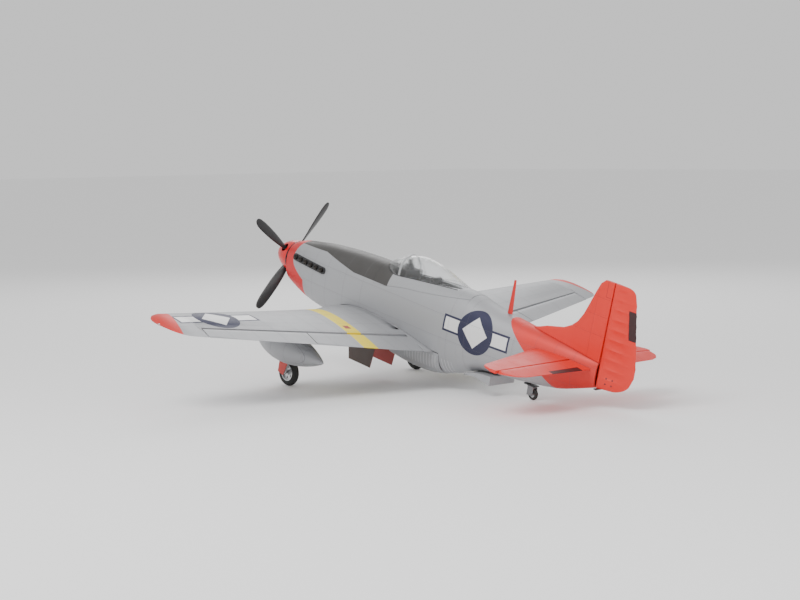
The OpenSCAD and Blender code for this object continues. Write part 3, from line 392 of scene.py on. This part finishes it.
# %% Tail paint
tail_paint = Finish("tail paint", metallic=0.0)
x, y, z = tail_paint.airframe()
p = tail_paint
out = p.math("ABSOLUTE", x)
fin_side = p.step(z, 0.036)
HORN_Y, HORN_Z, HORN_LINE = 1.153, 0.197, 0.0011
balance = p.either(p.both(p.line(z, HORN_Z, HORN_LINE), p.step(y, HORN_Y)),
                   p.both(p.line(y, HORN_Y, HORN_LINE), p.step(z, HORN_Z)))
fin_lines = p.either(balance, p.line(z, 0.105), p.line(z, 0.150), p.line(z, 0.192), p.line(y, 1.128))
stab_lines = p.either(p.line(out, 0.070), p.line(out, 0.128), p.line(out, 0.186), p.line(out, 0.236),
                      p.line(y, 1.040))
fin_dots = p.either(rivet_dots(p, y, z, 0.109), rivet_dots(p, y, z, 0.154), rivet_dots(p, y, z, 0.196))
stab_dots = p.either(rivet_dots(p, y, out, 0.074), rivet_dots(p, y, out, 0.132), rivet_dots(p, y, out, 0.190))
grooves = p.either(p.both(fin_side, fin_lines), p.both(p.inverse(fin_side), stab_lines))
dots = p.either(p.both(fin_side, fin_dots), p.both(p.inverse(fin_side), stab_dots))
trim = p.both(p.inverse(fin_side), p.between(out, 0.042, 0.140), p.step(y, 1.1345))
colour = p.mix(trim, TAIL_RED, DARK_GREY)
toned = p.mix(p.math("MULTIPLY", p.noise(8.0), 0.10), colour, (0.50, 0.016, 0.012))
marks = p.either(grooves, p.math("MULTIPLY", dots, 0.5))
p.colour(p.mix(p.math("MULTIPLY", marks, 0.7), toned, (0.20, 0.010, 0.010)))
p.roughness(p.math("ADD", 0.36, p.math("MULTIPLY", p.noise(40.0), 0.16)))
p.bump(p.math("SUBTRACT", p.math("MULTIPLY", p.beads(260.0), 0.22), grooves), 0.0006, 0.6)
print("tail paint", len(p.tree.nodes), "nodes")

# %% [markdown]
# ### Plain finishes
# The other finishes carry no scheme, but each still has its own grain: brushed turning marks on
# aluminium, a fine spark texture on moulded plastic, a matt scuff on foam rubber, and the
# streaks of plywood.

# %% Plain finishes
def grained(name, colour, second, roughness, spread=0.12, scale=60.0, bump=0.0002, metallic=0.0, stretch=None):
    """A finish whose tone, gloss and surface all vary with the same grain."""
    finish = Finish(name, roughness, metallic, colour)
    finish.airframe()
    if stretch:
        mapping = finish.tree.nodes.new("ShaderNodeMapping")
        mapping.inputs["Scale"].default_value = stretch
        finish.tree.links.new(finish.where, mapping.inputs["Vector"])
        finish.where = mapping.outputs[0]
    grain = finish.noise(scale, 5.0)
    finish.colour(finish.mix(grain, colour, second))
    finish.roughness(finish.math("ADD", roughness - spread / 2, finish.math("MULTIPLY", grain, spread)))
    finish.bump(grain, bump, 0.5)
    return finish.material


black_plastic = grained("satin black plastic", (0.018, 0.018, 0.019), (0.035, 0.035, 0.037), 0.42, scale=900.0)
blade_black = grained("black propeller nylon", (0.014, 0.014, 0.015), (0.028, 0.028, 0.03), 0.36, scale=500.0)
spinner_red = grained("gloss red plastic", (0.66, 0.008, 0.010), (0.60, 0.007, 0.009), 0.24, 0.06, 30.0, 0.00005)
mast_red = grained("red mast plastic", (0.62, 0.016, 0.012), (0.52, 0.012, 0.010), 0.38, scale=400.0)
cockpit_black = grained("matt black cockpit plastic", (0.012, 0.012, 0.013), (0.03, 0.03, 0.03), 0.62, scale=700.0)
aluminium = grained("turned aluminium", (0.62, 0.63, 0.64), (0.50, 0.51, 0.52), 0.34, 0.16, 300.0, 0.00004, 1.0)
steel = grained("dull steel wire", (0.30, 0.30, 0.31), (0.20, 0.20, 0.21), 0.45, 0.16, 500.0, 0.00004, 1.0)
rubber = grained("foam rubber", (0.014, 0.014, 0.014), (0.034, 0.034, 0.033), 0.80, 0.12, 1200.0, 0.0003)
plywood = grained("light plywood", (0.52, 0.36, 0.20), (0.36, 0.23, 0.11), 0.62, 0.12, 90.0, 0.0002,
                  stretch=(1.0, 0.08, 1.0))
carbon = grained("carbon tube", (0.012, 0.012, 0.014), (0.04, 0.04, 0.045), 0.35, 0.1, 800.0, 0.0001)
wrap_blue = grained("blue heat-shrink wrap", (0.02, 0.06, 0.30), (0.03, 0.09, 0.38), 0.28, 0.08, 40.0, 0.0004)
case_grey = grained("dark moulded case", (0.03, 0.035, 0.045), (0.05, 0.055, 0.065), 0.5, scale=800.0)
bare_silver = grained("silver frame paint", (0.48, 0.485, 0.50), (0.40, 0.405, 0.42), 0.38, 0.1, 60.0, 0.0001, 0.4)


def doubled(name, outside, inside, axis_value):
    """A thin plate that is painted on the side that faces outboard and dark grey on the other; that dark grey is
    painted shade.
    """
    finish = Finish(name, 0.5)
    x, y, z = finish.airframe()
    normal = finish.tree.nodes.new("ShaderNodeNewGeometry").outputs["Normal"]
    split = finish.tree.nodes.new("ShaderNodeSeparateXYZ")
    finish.tree.links.new(normal, split.inputs[0])
    outboard = finish.math("MULTIPLY", split.outputs[0], finish.math("SIGN", x))
    face = finish.step(finish.math("MULTIPLY", outboard, axis_value), 0.0, 0.02)
    tone = finish.math("MULTIPLY", finish.noise(30.0), 0.25)
    # The inside colour is painted shade: the dark brown grey of skin lying in shadow.
    finish.colour(finish.mix(tone, finish.mix(face, inside, outside), (0.10, 0.04, 0.04)))
    finish.roughness(finish.math("ADD", 0.42, finish.math("MULTIPLY", finish.noise(60.0), 0.15)))
    finish.bump(finish.noise(500.0), 0.0001, 0.5)
    return finish.material


# The doors' outside red is darker than the fairings' red. That is painted shade on the same red paint, and the dark
# brown grey on each plate's other face is painted shade too.
door_paint_and_shade = doubled("gear door red and painted shade", (0.42, 0.045, 0.035), (0.09, 0.065, 0.055), -1.0)
fairing_paint_and_shade = doubled("gear fairing red and painted shade", (0.60, 0.055, 0.045), (0.11, 0.09, 0.085), 1.0)

canopy_clear = Finish("clear canopy", 0.04, 0.0, (0.93, 0.95, 0.96))
canopy_clear.shader.inputs["Transmission Weight"].default_value = 0.92
canopy_clear.shader.inputs["IOR"].default_value = 1.12
canopy_clear.shader.inputs["Alpha"].default_value = 0.42
canopy_clear.coat(0.6, 0.03)
lamp_clear = Finish("clear lamp lens", 0.08, 0.0, (0.9, 0.9, 0.9))
lamp_clear.shader.inputs["Transmission Weight"].default_value = 0.8
print("plain finishes ready")

# %% [markdown]
# ## From frame to finished skins
# The frame's meshes are loose triangles, so each corner has its own hard normal. A copy is
# welded, and then only edges that really turn sharply stay sharp, which makes a lofted skin
# shade as one smooth surface. The copy stands for the CAD node and rides on the same body.

# %% Skins
def finished_piece(name, mesh, material, node, *more):
    """A new piece that stands for one or more CAD nodes."""
    piece = bpy.data.objects.new(name, mesh)
    bpy.context.scene.collection.objects.link(piece)
    mesh.materials.clear()
    mesh.materials.append(material)
    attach(piece, body_of_node[node])
    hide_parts(node, *more)
    return piece


def welded(node, sharp_angle=32):
    """A merged copy of a CAD node's mesh with smooth shading up to an angle."""
    mesh = frame["nodes"][node].data.copy()
    shape = bmesh.new()
    shape.from_mesh(mesh)
    bmesh.ops.remove_doubles(shape, verts=shape.verts, dist=0.00002)
    bmesh.ops.dissolve_degenerate(shape, edges=shape.edges, dist=0.00001)
    for face in shape.faces:
        face.smooth = True
    shape.to_mesh(mesh)
    shape.free()
    mesh.set_sharp_from_angle(angle=math.radians(sharp_angle))
    return mesh


def smooth_curve(table, u):
    """A smooth curve through a table of (station, value) pairs."""
    i = max(k for k in range(len(table) - 1) if k == 0 or table[k][0] <= u)
    slopes = [(table[min(k + 1, len(table) - 1)][1] - table[max(k - 1, 0)][1])
              / (table[min(k + 1, len(table) - 1)][0] - table[max(k - 1, 0)][0]) for k in (i, i + 1)]
    (u0, v0), (u1, v1) = table[i], table[i + 1]
    h = u1 - u0
    t = min(max((u - u0) / h, 0), 1)
    return ((2 * t**3 - 3 * t**2 + 1) * v0 + (t**3 - 2 * t**2 + t) * h * slopes[0]
            + (3 * t**2 - 2 * t**3) * v1 + (t**3 - t**2) * h * slopes[1])


CROWN = ((0.082, 0.046), (0.102, 0.054), (0.150, 0.063), (0.195, 0.071), (0.275, 0.079), (0.354, 0.084),
         (0.440, 0.086), (0.600, 0.090), (0.717, 0.093), (0.760, 0.090), (0.810, 0.080), (0.868, 0.072),
         (0.925, 0.068), (1.000, 0.062), (1.080, 0.054), (1.164, 0.044))
KEEL = ((0.082, -0.064), (0.100, -0.072), (0.148, -0.088), (0.214, -0.100), (0.318, -0.108), (0.420, -0.118),
        (0.520, -0.134), (0.606, -0.142), (0.672, -0.138), (0.736, -0.120), (0.775, -0.103), (0.827, -0.085),
        (0.924, -0.075), (0.998, -0.065), (1.061, -0.054), (1.164, -0.018))
HALF_WIDTH = ((0.082, 0.046), (0.120, 0.051), (0.200, 0.057), (0.300, 0.061), (0.420, 0.063), (0.600, 0.064),
              (0.700, 0.063), (0.817, 0.057), (0.900, 0.048), (1.000, 0.035), (1.100, 0.021), (1.164, 0.0095))
WIDEST_AT = ((0.082, -0.002), (0.200, -0.012), (0.400, -0.016), (0.600, -0.014), (0.817, -0.004),
             (1.000, 0.004), (1.164, 0.014))
OVAL = 2.35


def hull_level(x, y, z):
    """0 on the fuselage's skin, negative inside it and positive outside."""
    middle = smooth_curve(WIDEST_AT, y)
    height = smooth_curve(CROWN, y) - middle if z >= middle else middle - smooth_curve(KEEL, y)
    return (abs(x) / smooth_curve(HALF_WIDTH, y)) ** OVAL + (abs(z - middle) / height) ** OVAL - 1


def faired(mesh):
    """Gives every corner on the hull's skin the true normal of the hull's formula."""
    step = 0.0002
    true_normals = {}
    for vertex in mesh.vertices:
        x, y, z = turn.transposed() @ (vertex.co - nose_tip)
        if 0.075 < y < 1.17 and abs(hull_level(x, y, z)) < 0.012:
            slope = Vector([hull_level(x + a, y + b, z + c) - hull_level(x - a, y - b, z - c)
                            for a, b, c in ((step, 0, 0), (0, step, 0), (0, 0, step))])
            if slope.length > 0:
                true_normals[vertex.index] = turn @ slope.normalized()
    normals = [Vector(corner.vector) for corner in mesh.corner_normals]
    for face in mesh.polygons:
        for corner in face.loop_indices:
            true = true_normals.get(mesh.loops[corner].vertex_index)
            if true is not None and true.dot(face.normal) > 0.8:
                normals[corner] = true
    mesh.normals_split_custom_set(normals)
    return mesh


SKINS = {
    fuselage_paint: ("fuselage_left", "fuselage_right", "nose_cowl", "belly_scoop", "belly_fairing",
                     "radiator_flap", "hatch"),
    wing_paint: ("wing_centre", "wing_left", "wing_right", "flap_left", "flap_right", "aileron_left",
                 "aileron_right", "drop_tanks"),
    tail_paint: ("fin", "stabiliser_left", "stabiliser_right", "elevators"),
}
for finish, nodes in SKINS.items():
    for node in nodes:
        skin = welded(node)
        finished_piece(node + "_skin", faired(skin) if finish is fuselage_paint else skin, finish.material, node)
for node, material, sharp_angle in (("propeller", blade_black, 50), ("windscreen", canopy_clear.material, 40),
                                    ("canopy_glass", canopy_clear.material, 40)):
    finished_piece(node + "_skin", welded(node, sharp_angle), material, node)
print("skins", sum(len(n) for n in SKINS.values()))

# %% [markdown]
# The turned and moulded pieces need no new shape: the frame's own meshes keep their true
# curves, and each only gets its finish.

# %% Finishes of the carried pieces
CARRIED = {
    "spinner": spinner_red, "spinner_backplate": black_plastic,
    "motor_can": aluminium, "motor_shaft": steel, "firewall": plywood, "battery_tray": plywood,
    "exhaust_stacks": black_plastic, "battery": wrap_blue, "speed_controller": case_grey,
    "receiver": case_grey, "windscreen_frame": bare_silver,
    "cockpit_floor": cockpit_black, "instrument_panel": cockpit_black,
    "seat": cockpit_black, "antenna_mast": mast_red, "wing_spar": carbon, "nav_lights": lamp_clear.material,
    "wing_servos": case_grey, "retract_left": aluminium, "retract_right": aluminium,
    "gear_leg_left": aluminium, "gear_leg_right": aluminium, "gear_fairing_left": fairing_paint_and_shade,
    "gear_fairing_right": fairing_paint_and_shade, "wheel_left": aluminium, "wheel_right": aluminium,
    "tyre_left": rubber, "tyre_right": rubber, "gear_door_left": door_paint_and_shade, "gear_door_right": door_paint_and_shade,
    "rudder_horn": black_plastic, "elevator_joiner": steel, "tail_servos": case_grey,
    "tail_bracket": black_plastic, "tail_strut": steel, "tail_wheel": aluminium, "tail_tyre": rubber,
}
for node, material in CARRIED.items():
    mesh = frame["nodes"][node].data
    mesh.materials.clear()
    mesh.materials.append(material)
print("carried", len(CARRIED))

# %% [markdown]
# ## Rows of parts by Geometry Nodes
# Hundreds of raised rivets follow the panel grooves, and six exhaust stubs stand in a row on
# each side of the nose. Each row is the same rule: a line of points at a set spacing, dropped
# straight on to the skin, with a part on every point that turns with the surface. One node
# tree does this for any part, so only its inputs change.

# %% Row tree
def new_tree(name, inputs):
    """An empty geometry tree with the given inputs, each (name, socket type, default)."""
    tree = bpy.data.node_groups.new(name, "GeometryNodeTree")
    tree.interface.new_socket("Geometry", in_out="OUTPUT", socket_type="NodeSocketGeometry")
    for label, kind, default in inputs:
        socket = tree.interface.new_socket(label, in_out="INPUT", socket_type=kind)
        if default is not None:
            socket.default_value = default
    start = tree.nodes.new("NodeGroupInput")
    end = tree.nodes.new("NodeGroupOutput")
    return tree, start, end


def node_in(tree, kind, **links):
    """A node with its inputs wired or set by name; spaces in names are underscores."""
    node = tree.nodes.new(kind)
    for label, value in links.items():
        socket = node.inputs[label.replace("_", " ")]
        if hasattr(value, "is_output"):
            tree.links.new(value, socket)
        else:
            socket.default_value = value
    return node


def run_tree(name, tree, values):
    """Runs a tree on an empty object and returns its result as a plain mesh."""
    holder = bpy.data.objects.new(name + "_maker", bpy.data.meshes.new(name + "_maker"))
    bpy.context.scene.collection.objects.link(holder)
    modifier = holder.modifiers.new("maker", "NODES")
    modifier.node_group = tree
    names = {item.name: item.identifier for item in tree.interface.items_tree if item.in_out == "INPUT"}
    for label, value in values.items():
        modifier[names[label]] = value
    bpy.context.view_layer.update()
    graph = bpy.context.evaluated_depsgraph_get()
    mesh = bpy.data.meshes.new_from_object(holder.evaluated_get(graph), depsgraph=graph)
    bpy.data.objects.remove(holder)
    return mesh


def row_tree():
    tree, start, end = new_tree("row_of_parts", (
        ("Skin", "NodeSocketObject", None), ("From", "NodeSocketVector", None),
        ("To", "NodeSocketVector", None), ("Drop", "NodeSocketVector", (0, 0, -1)),
        ("Spacing", "NodeSocketFloat", 0.008), ("Part", "NodeSocketObject", None),
        ("Finish", "NodeSocketMaterial", None)))
    given = start.outputs
    skin = node_in(tree, "GeometryNodeObjectInfo", Object=given["Skin"])
    row = node_in(tree, "GeometryNodeCurvePrimitiveLine", Start=given["From"], End=given["To"])
    points = tree.nodes.new("GeometryNodeCurveToPoints")
    points.mode = "LENGTH"
    tree.links.new(row.outputs["Curve"], points.inputs["Curve"])
    tree.links.new(given["Spacing"], points.inputs["Length"])
    hit = node_in(tree, "GeometryNodeRaycast", Target_Geometry=skin.outputs["Geometry"],
                  Ray_Direction=given["Drop"], Ray_Length=0.3)
    missed = node_in(tree, "FunctionNodeBooleanMath")
    missed.operation = "NOT"
    tree.links.new(hit.outputs["Is Hit"], missed.inputs[0])
    placed = node_in(tree, "GeometryNodeSetPosition", Position=hit.outputs["Hit Position"])
    turned = node_in(tree, "FunctionNodeAlignRotationToVector", Vector=hit.outputs["Hit Normal"])
    stored = tree.nodes.new("GeometryNodeStoreNamedAttribute")
    stored.data_type = "BOOLEAN"
    stored.domain = "POINT"
    stored.inputs["Name"].default_value = "missed"
    tree.links.new(points.outputs["Points"], stored.inputs["Geometry"])
    tree.links.new(missed.outputs[0], stored.inputs["Value"])
    turn_kept = tree.nodes.new("GeometryNodeStoreNamedAttribute")
    turn_kept.data_type = "QUATERNION"
    turn_kept.domain = "POINT"
    turn_kept.inputs["Name"].default_value = "turn"
    tree.links.new(stored.outputs["Geometry"], turn_kept.inputs["Geometry"])
    tree.links.new(turned.outputs["Rotation"], turn_kept.inputs["Value"])
    tree.links.new(turn_kept.outputs["Geometry"], placed.inputs["Geometry"])
    read_missed = tree.nodes.new("GeometryNodeInputNamedAttribute")
    read_missed.data_type = "BOOLEAN"
    read_missed.inputs["Name"].default_value = "missed"
    read_turn = tree.nodes.new("GeometryNodeInputNamedAttribute")
    read_turn.data_type = "QUATERNION"
    read_turn.inputs["Name"].default_value = "turn"
    kept = node_in(tree, "GeometryNodeDeleteGeometry", Geometry=placed.outputs["Geometry"],
                   Selection=read_missed.outputs["Attribute"])
    part = node_in(tree, "GeometryNodeObjectInfo", Object=given["Part"])
    copies = node_in(tree, "GeometryNodeInstanceOnPoints", Points=kept.outputs["Geometry"],
                     Instance=part.outputs["Geometry"], Rotation=read_turn.outputs["Attribute"])
    real = node_in(tree, "GeometryNodeRealizeInstances", Geometry=copies.outputs["Instances"])
    smooth = node_in(tree, "GeometryNodeSetShadeSmooth", Geometry=real.outputs["Geometry"])
    painted = node_in(tree, "GeometryNodeSetMaterial", Geometry=smooth.outputs["Geometry"],
                      Material=given["Finish"])
    tree.links.new(painted.outputs["Geometry"], end.inputs["Geometry"])
    return tree


row_of_parts = row_tree()


def rows_piece(name, skin, part_mesh, rows, drop, spacing, finish, body):
    """Rows of one part on one skin, as one mesh; each row is a pair of airframe points."""
    part = bpy.data.objects.new(name + "_part", part_mesh)
    bpy.context.scene.collection.objects.link(part)
    shape = bmesh.new()
    for a, b in rows:
        mesh = run_tree(name, row_of_parts, {
            "Skin": skin, "Part": part, "From": place(*a), "To": place(*b), "Drop": turn @ Vector(drop),
            "Spacing": spacing, "Finish": finish})
        shape.from_mesh(mesh)
        bpy.data.meshes.remove(mesh)
    bpy.data.objects.remove(part)
    mesh = bpy.data.meshes.new(name)
    shape.to_mesh(mesh)
    shape.free()
    mesh.materials.clear()
    mesh.materials.append(finish)
    piece = bpy.data.objects.new(name, mesh)
    bpy.context.scene.collection.objects.link(piece)
    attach(piece, body)
    return piece


print("row tree", len(row_of_parts.nodes), "nodes")

# %% Rivet rows
def turned_part(name, profile, sides):
    """A closed part turned about z from (radius, height) pairs that start and end on the axis."""
    shape = bmesh.new()
    rings = [[shape.verts.new((r * math.cos(math.tau * k / sides), r * math.sin(math.tau * k / sides), h))
              for k in range(sides)] for r, h in profile[1:-1]]
    bottom, top = (shape.verts.new((0, 0, profile[e][1])) for e in (0, -1))
    for k in range(sides):
        n = (k + 1) % sides
        shape.faces.new((bottom, rings[0][n], rings[0][k]))
        shape.faces.new((top, rings[-1][k], rings[-1][n]))
        for low, high in zip(rings, rings[1:]):
            shape.faces.new((low[k], low[n], high[n], high[k]))
    for face in shape.faces:
        face.smooth = True
    mesh = bpy.data.meshes.new(name)
    shape.to_mesh(mesh)
    shape.free()
    return mesh


RIVET = turned_part("rivet", [(0, -0.0003), (0.0008, -0.0003), (0.0007, 0.0002), (0, 0.00035)], 8)
RIB_ROWS = (0.262, 0.322, 0.452, 0.655)
for side, node in ((1, "wing_left"), (-1, "wing_right")):
    rows = [((side * (station - 0.004), 0.372, 0.10), (side * (station - 0.004), 0.60, 0.10))
            for station in RIB_ROWS]
    rows_piece(node + "_rivets", frame["nodes"][node], RIVET, rows, (0, 0, -1), 0.009,
               bare_silver, "airframe")
rows_piece("hatch_rivets_left", frame["nodes"]["hatch"], RIVET,
           [((0.09, 0.512, 0.049), (0.09, 0.748, 0.084))],
           (-1, 0, 0), 0.012, bare_silver, "hatch_body")
rows_piece("hatch_rivets_right", frame["nodes"]["hatch"], RIVET,
           [((-0.09, 0.512, 0.049), (-0.09, 0.748, 0.084))],
           (1, 0, 0), 0.012, bare_silver, "hatch_body")
print("rivets set")

# %% [markdown]
# The exhaust stubs use the same tree with another part: a short tube that opens outwards,
# burnt dark, six to a side on the black strip.

# %% Exhaust stubs
STUB = turned_part("stub", [(0, -0.0005), (0.0062, -0.0005), (0.0056, 0.0035), (0.0060, 0.0050), (0.0046, 0.0050),
                            (0.0042, 0.0020), (0, 0.0020)], 20)
burnt_steel = grained("burnt exhaust steel", (0.016, 0.014, 0.013), (0.045, 0.038, 0.034), 0.5, 0.2, 200.0, 0.0002, 0.6)
for side, label in ((1, "left"), (-1, "right")):
    row = ((side * 0.09, 0.1275, 0.0165), (side * 0.09, 0.2430, 0.0125))
    rows_piece("exhaust_stubs_" + label, frame["nodes"]["exhaust_stacks"], STUB, [row], (-side, 0, 0), 0.0229,
               burnt_steel, "airframe")
print("stubs set")

# %% [markdown]
# ## Canopy rail
# A thin black seal runs along the foot of the canopy on both sides. It is a
# round bead swept along a path, and the path is worked out from the hull's own formula: the
# sill's height, a few millimetres in from the skin.

# %% Canopy rail
SILL = ((0.452, 0.082), (0.475, 0.074), (0.497, 0.0695), (0.560, 0.075), (0.640, 0.082), (0.717, 0.088))
BEAD = 0.0013


def bead_tree():
    tree, start, end = new_tree("bead_along_path", (
        ("Path", "NodeSocketObject", None), ("Radius", "NodeSocketFloat", 0.001), ("Finish", "NodeSocketMaterial", None)))
    given = start.outputs
    path = node_in(tree, "GeometryNodeObjectInfo", Object=given["Path"])
    curve = node_in(tree, "GeometryNodeMeshToCurve", Mesh=path.outputs["Geometry"])
    profile = node_in(tree, "GeometryNodeCurvePrimitiveCircle", Resolution=10, Radius=given["Radius"])
    tube = node_in(tree, "GeometryNodeCurveToMesh", Curve=curve.outputs["Curve"],
                   Profile_Curve=profile.outputs["Curve"], Fill_Caps=True)
    smooth = node_in(tree, "GeometryNodeSetShadeSmooth", Geometry=tube.outputs["Mesh"])
    real = node_in(tree, "GeometryNodeRealizeInstances", Geometry=smooth.outputs["Geometry"])
    painted = node_in(tree, "GeometryNodeSetMaterial", Geometry=real.outputs["Geometry"], Material=given["Finish"])
    tree.links.new(painted.outputs["Geometry"], end.inputs["Geometry"])
    return tree


bead_along_path = bead_tree()


def bead_piece(name, points, radius, finish, body):
    """A round bead along airframe points, riding on a body."""
    line = bpy.data.meshes.new(name + "_path")
    line.from_pydata([place(*point) for point in points], [(k, k + 1) for k in range(len(points) - 1)], [])
    path = bpy.data.objects.new(name + "_path", line)
    bpy.context.scene.collection.objects.link(path)
    mesh = run_tree(name, bead_along_path, {"Path": path, "Radius": radius, "Finish": finish})
    bpy.data.objects.remove(path)
    piece = bpy.data.objects.new(name, mesh)
    bpy.context.scene.collection.objects.link(piece)
    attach(piece, body)
    return piece


def skin_half_width(y, z):
    middle = smooth_curve(WIDEST_AT, y)
    height = smooth_curve(CROWN, y) - middle
    return smooth_curve(HALF_WIDTH, y) * (1 - min(abs(z - middle) / height, 1) ** OVAL) ** (1 / OVAL)


side_path = []
for y_at in np.linspace(0.456, 0.706, 60):
    z_at = smooth_curve(SILL, float(y_at))
    side_path.append((max(skin_half_width(float(y_at), z_at) - 0.0026, 0.004), float(y_at), z_at + 0.0006))
for side, label in ((1, "left"), (-1, "right")):
    bead_piece("canopy_rail_" + label, [(side * px, py, pz) for px, py, pz in side_path], BEAD,
               black_plastic, "hatch_body")
print("canopy rail set")

# %% [markdown]
# ## Rudder
# The real rudder is fabric over ribs, and the foam copies it: the skin stands proud at each
# rib and sags between them. The section is a round nose on the hinge line and two sides that
# taper to the trailing edge, so the whole shape is one formula swept up the hinge.

# %% Rudder
RUDDER_LINE = 1.176
RUDDER_REAR = ((-0.014, 1.194), (-0.0125, 1.212), (-0.008, 1.229), (0.000, 1.245),
               (0.011, 1.257), (0.026, 1.265), (0.048, 1.269), (0.090, 1.2625), (0.130, 1.254), (0.175, 1.245), (0.212, 1.237), (0.224, 1.231),
               (0.231, 1.222), (0.234, 1.211))
LOW_HALF, TOP_HALF, RUDDER_TOP = 0.0093, 0.0046, 0.234
FIRST_RIB, LAST_RIB, RIB_PITCH = 0.012, 0.222, 0.0235
SAG = 0.55


def rudder_section(height):
    """Half of the rudder's outline at one height: its y and its half thickness, nose to tail."""
    rear = smooth_curve(RUDDER_REAR, height)
    half = LOW_HALF + (TOP_HALF - LOW_HALF) * min(max(height / RUDDER_TOP, 0), 1)
    inside = FIRST_RIB < height < LAST_RIB
    sag = SAG * abs(math.sin(math.pi * (height - FIRST_RIB) / RIB_PITCH)) ** 0.7 if inside else 0.0
    rear -= 0.0015 * (sag / SAG if inside else 0.0)
    arc = [(RUDDER_LINE - half * math.cos(math.radians(a)), half * math.sin(math.radians(a)))
           for a in range(0, 91, 15)]
    steps = 12
    for k in range(1, steps + 1):
        t = k / steps
        plump = 1 - sag * math.sin(math.pi * min(t * 1.15, 1))
        arc.append((RUDDER_LINE + (rear - RUDDER_LINE) * t, (half + (0.0008 - half) * t ** 1.15) * plump))
    return arc


def closed_stack(name, rings):
    """A closed mesh from rings of equal length, with a fan on each end."""
    shape = bmesh.new()
    loops = [[shape.verts.new(place(*point)) for point in ring] for ring in rings]
    count = len(loops[0])
    for low, high in zip(loops, loops[1:]):
        for k in range(count):
            n = (k + 1) % count
            shape.faces.new((low[k], low[n], high[n], high[k]))
    shape.faces.new(loops[0][::-1])
    shape.faces.new(loops[-1])
    bmesh.ops.recalc_face_normals(shape, faces=shape.faces)
    bmesh.ops.triangulate(shape, faces=[f for f in shape.faces if len(f.verts) > 4])
    for face in shape.faces:
        face.smooth = True
    mesh = bpy.data.meshes.new(name)
    shape.to_mesh(mesh)
    shape.free()
    mesh.set_sharp_from_angle(angle=math.radians(40))
    return mesh


heights = np.concatenate([np.linspace(-0.014, 0.012, 30), np.linspace(0.0135, 0.2215, 140),
                          np.linspace(0.223, 0.234, 16)])
rings = []
for height in heights:
    side = rudder_section(float(height))
    rings.append([(half, y_at, height) for y_at, half in side]
                 + [(-half, y_at, height) for y_at, half in side[:0:-1]])
rudder_paint = Finish("rudder paint")
x, y, z = rudder_paint.airframe()
p = rudder_paint
rear_line = p.math("SUBTRACT", 1.278, p.math("MULTIPLY", z, 0.19))
tab = p.both(p.between(z, 0.118, 0.184), p.step(p.math("SUBTRACT", y, rear_line), -0.021))
tab_edge = p.either(p.both(p.between(z, 0.117, 0.185),
                           p.line(p.math("SUBTRACT", y, rear_line), -0.0215, 0.0007)))
colour = p.mix(tab, TAIL_RED, DARK_GREY)
toned = p.mix(p.math("MULTIPLY", p.noise(8.0), 0.10), colour, (0.50, 0.016, 0.012))
p.colour(toned)
p.roughness(p.math("ADD", 0.36, p.math("MULTIPLY", p.noise(40.0), 0.16)))
p.bump(p.math("SUBTRACT", p.math("MULTIPLY", p.beads(260.0), 0.2), tab_edge), 0.0005, 0.6)
rudder_fabric = finished_piece("rudder_fabric", closed_stack("rudder_fabric", rings),
                               rudder_paint.material, "rudder")
print("rudder rows", len(rings))

# %% [markdown]
# ### Rudder horn screws
# Two small screws on each side hold the control horn low on the rudder. They are the same kind
# of row as the rivets, only with two heads in it, so the same tree lays them on the new skin.

# %% Rudder horn screws
SCREW = turned_part("screw", [(0, -0.0004), (0.0021, -0.0004), (0.0019, 0.0004), (0, 0.0008)], 12)
for side, label in ((1, "left"), (-1, "right")):
    rows = [((side * 0.05, y_at, 0.0015), (side * 0.05, y_at, 0.0145)) for y_at in (1.195, 1.212)]
    rows_piece("rudder_horn_screws_" + label, rudder_fabric, SCREW, rows, (-side, 0, 0), 0.012,
               black_plastic, "rudder_body")
print("rudder horn screws", len(SCREW.polygons), "faces each")
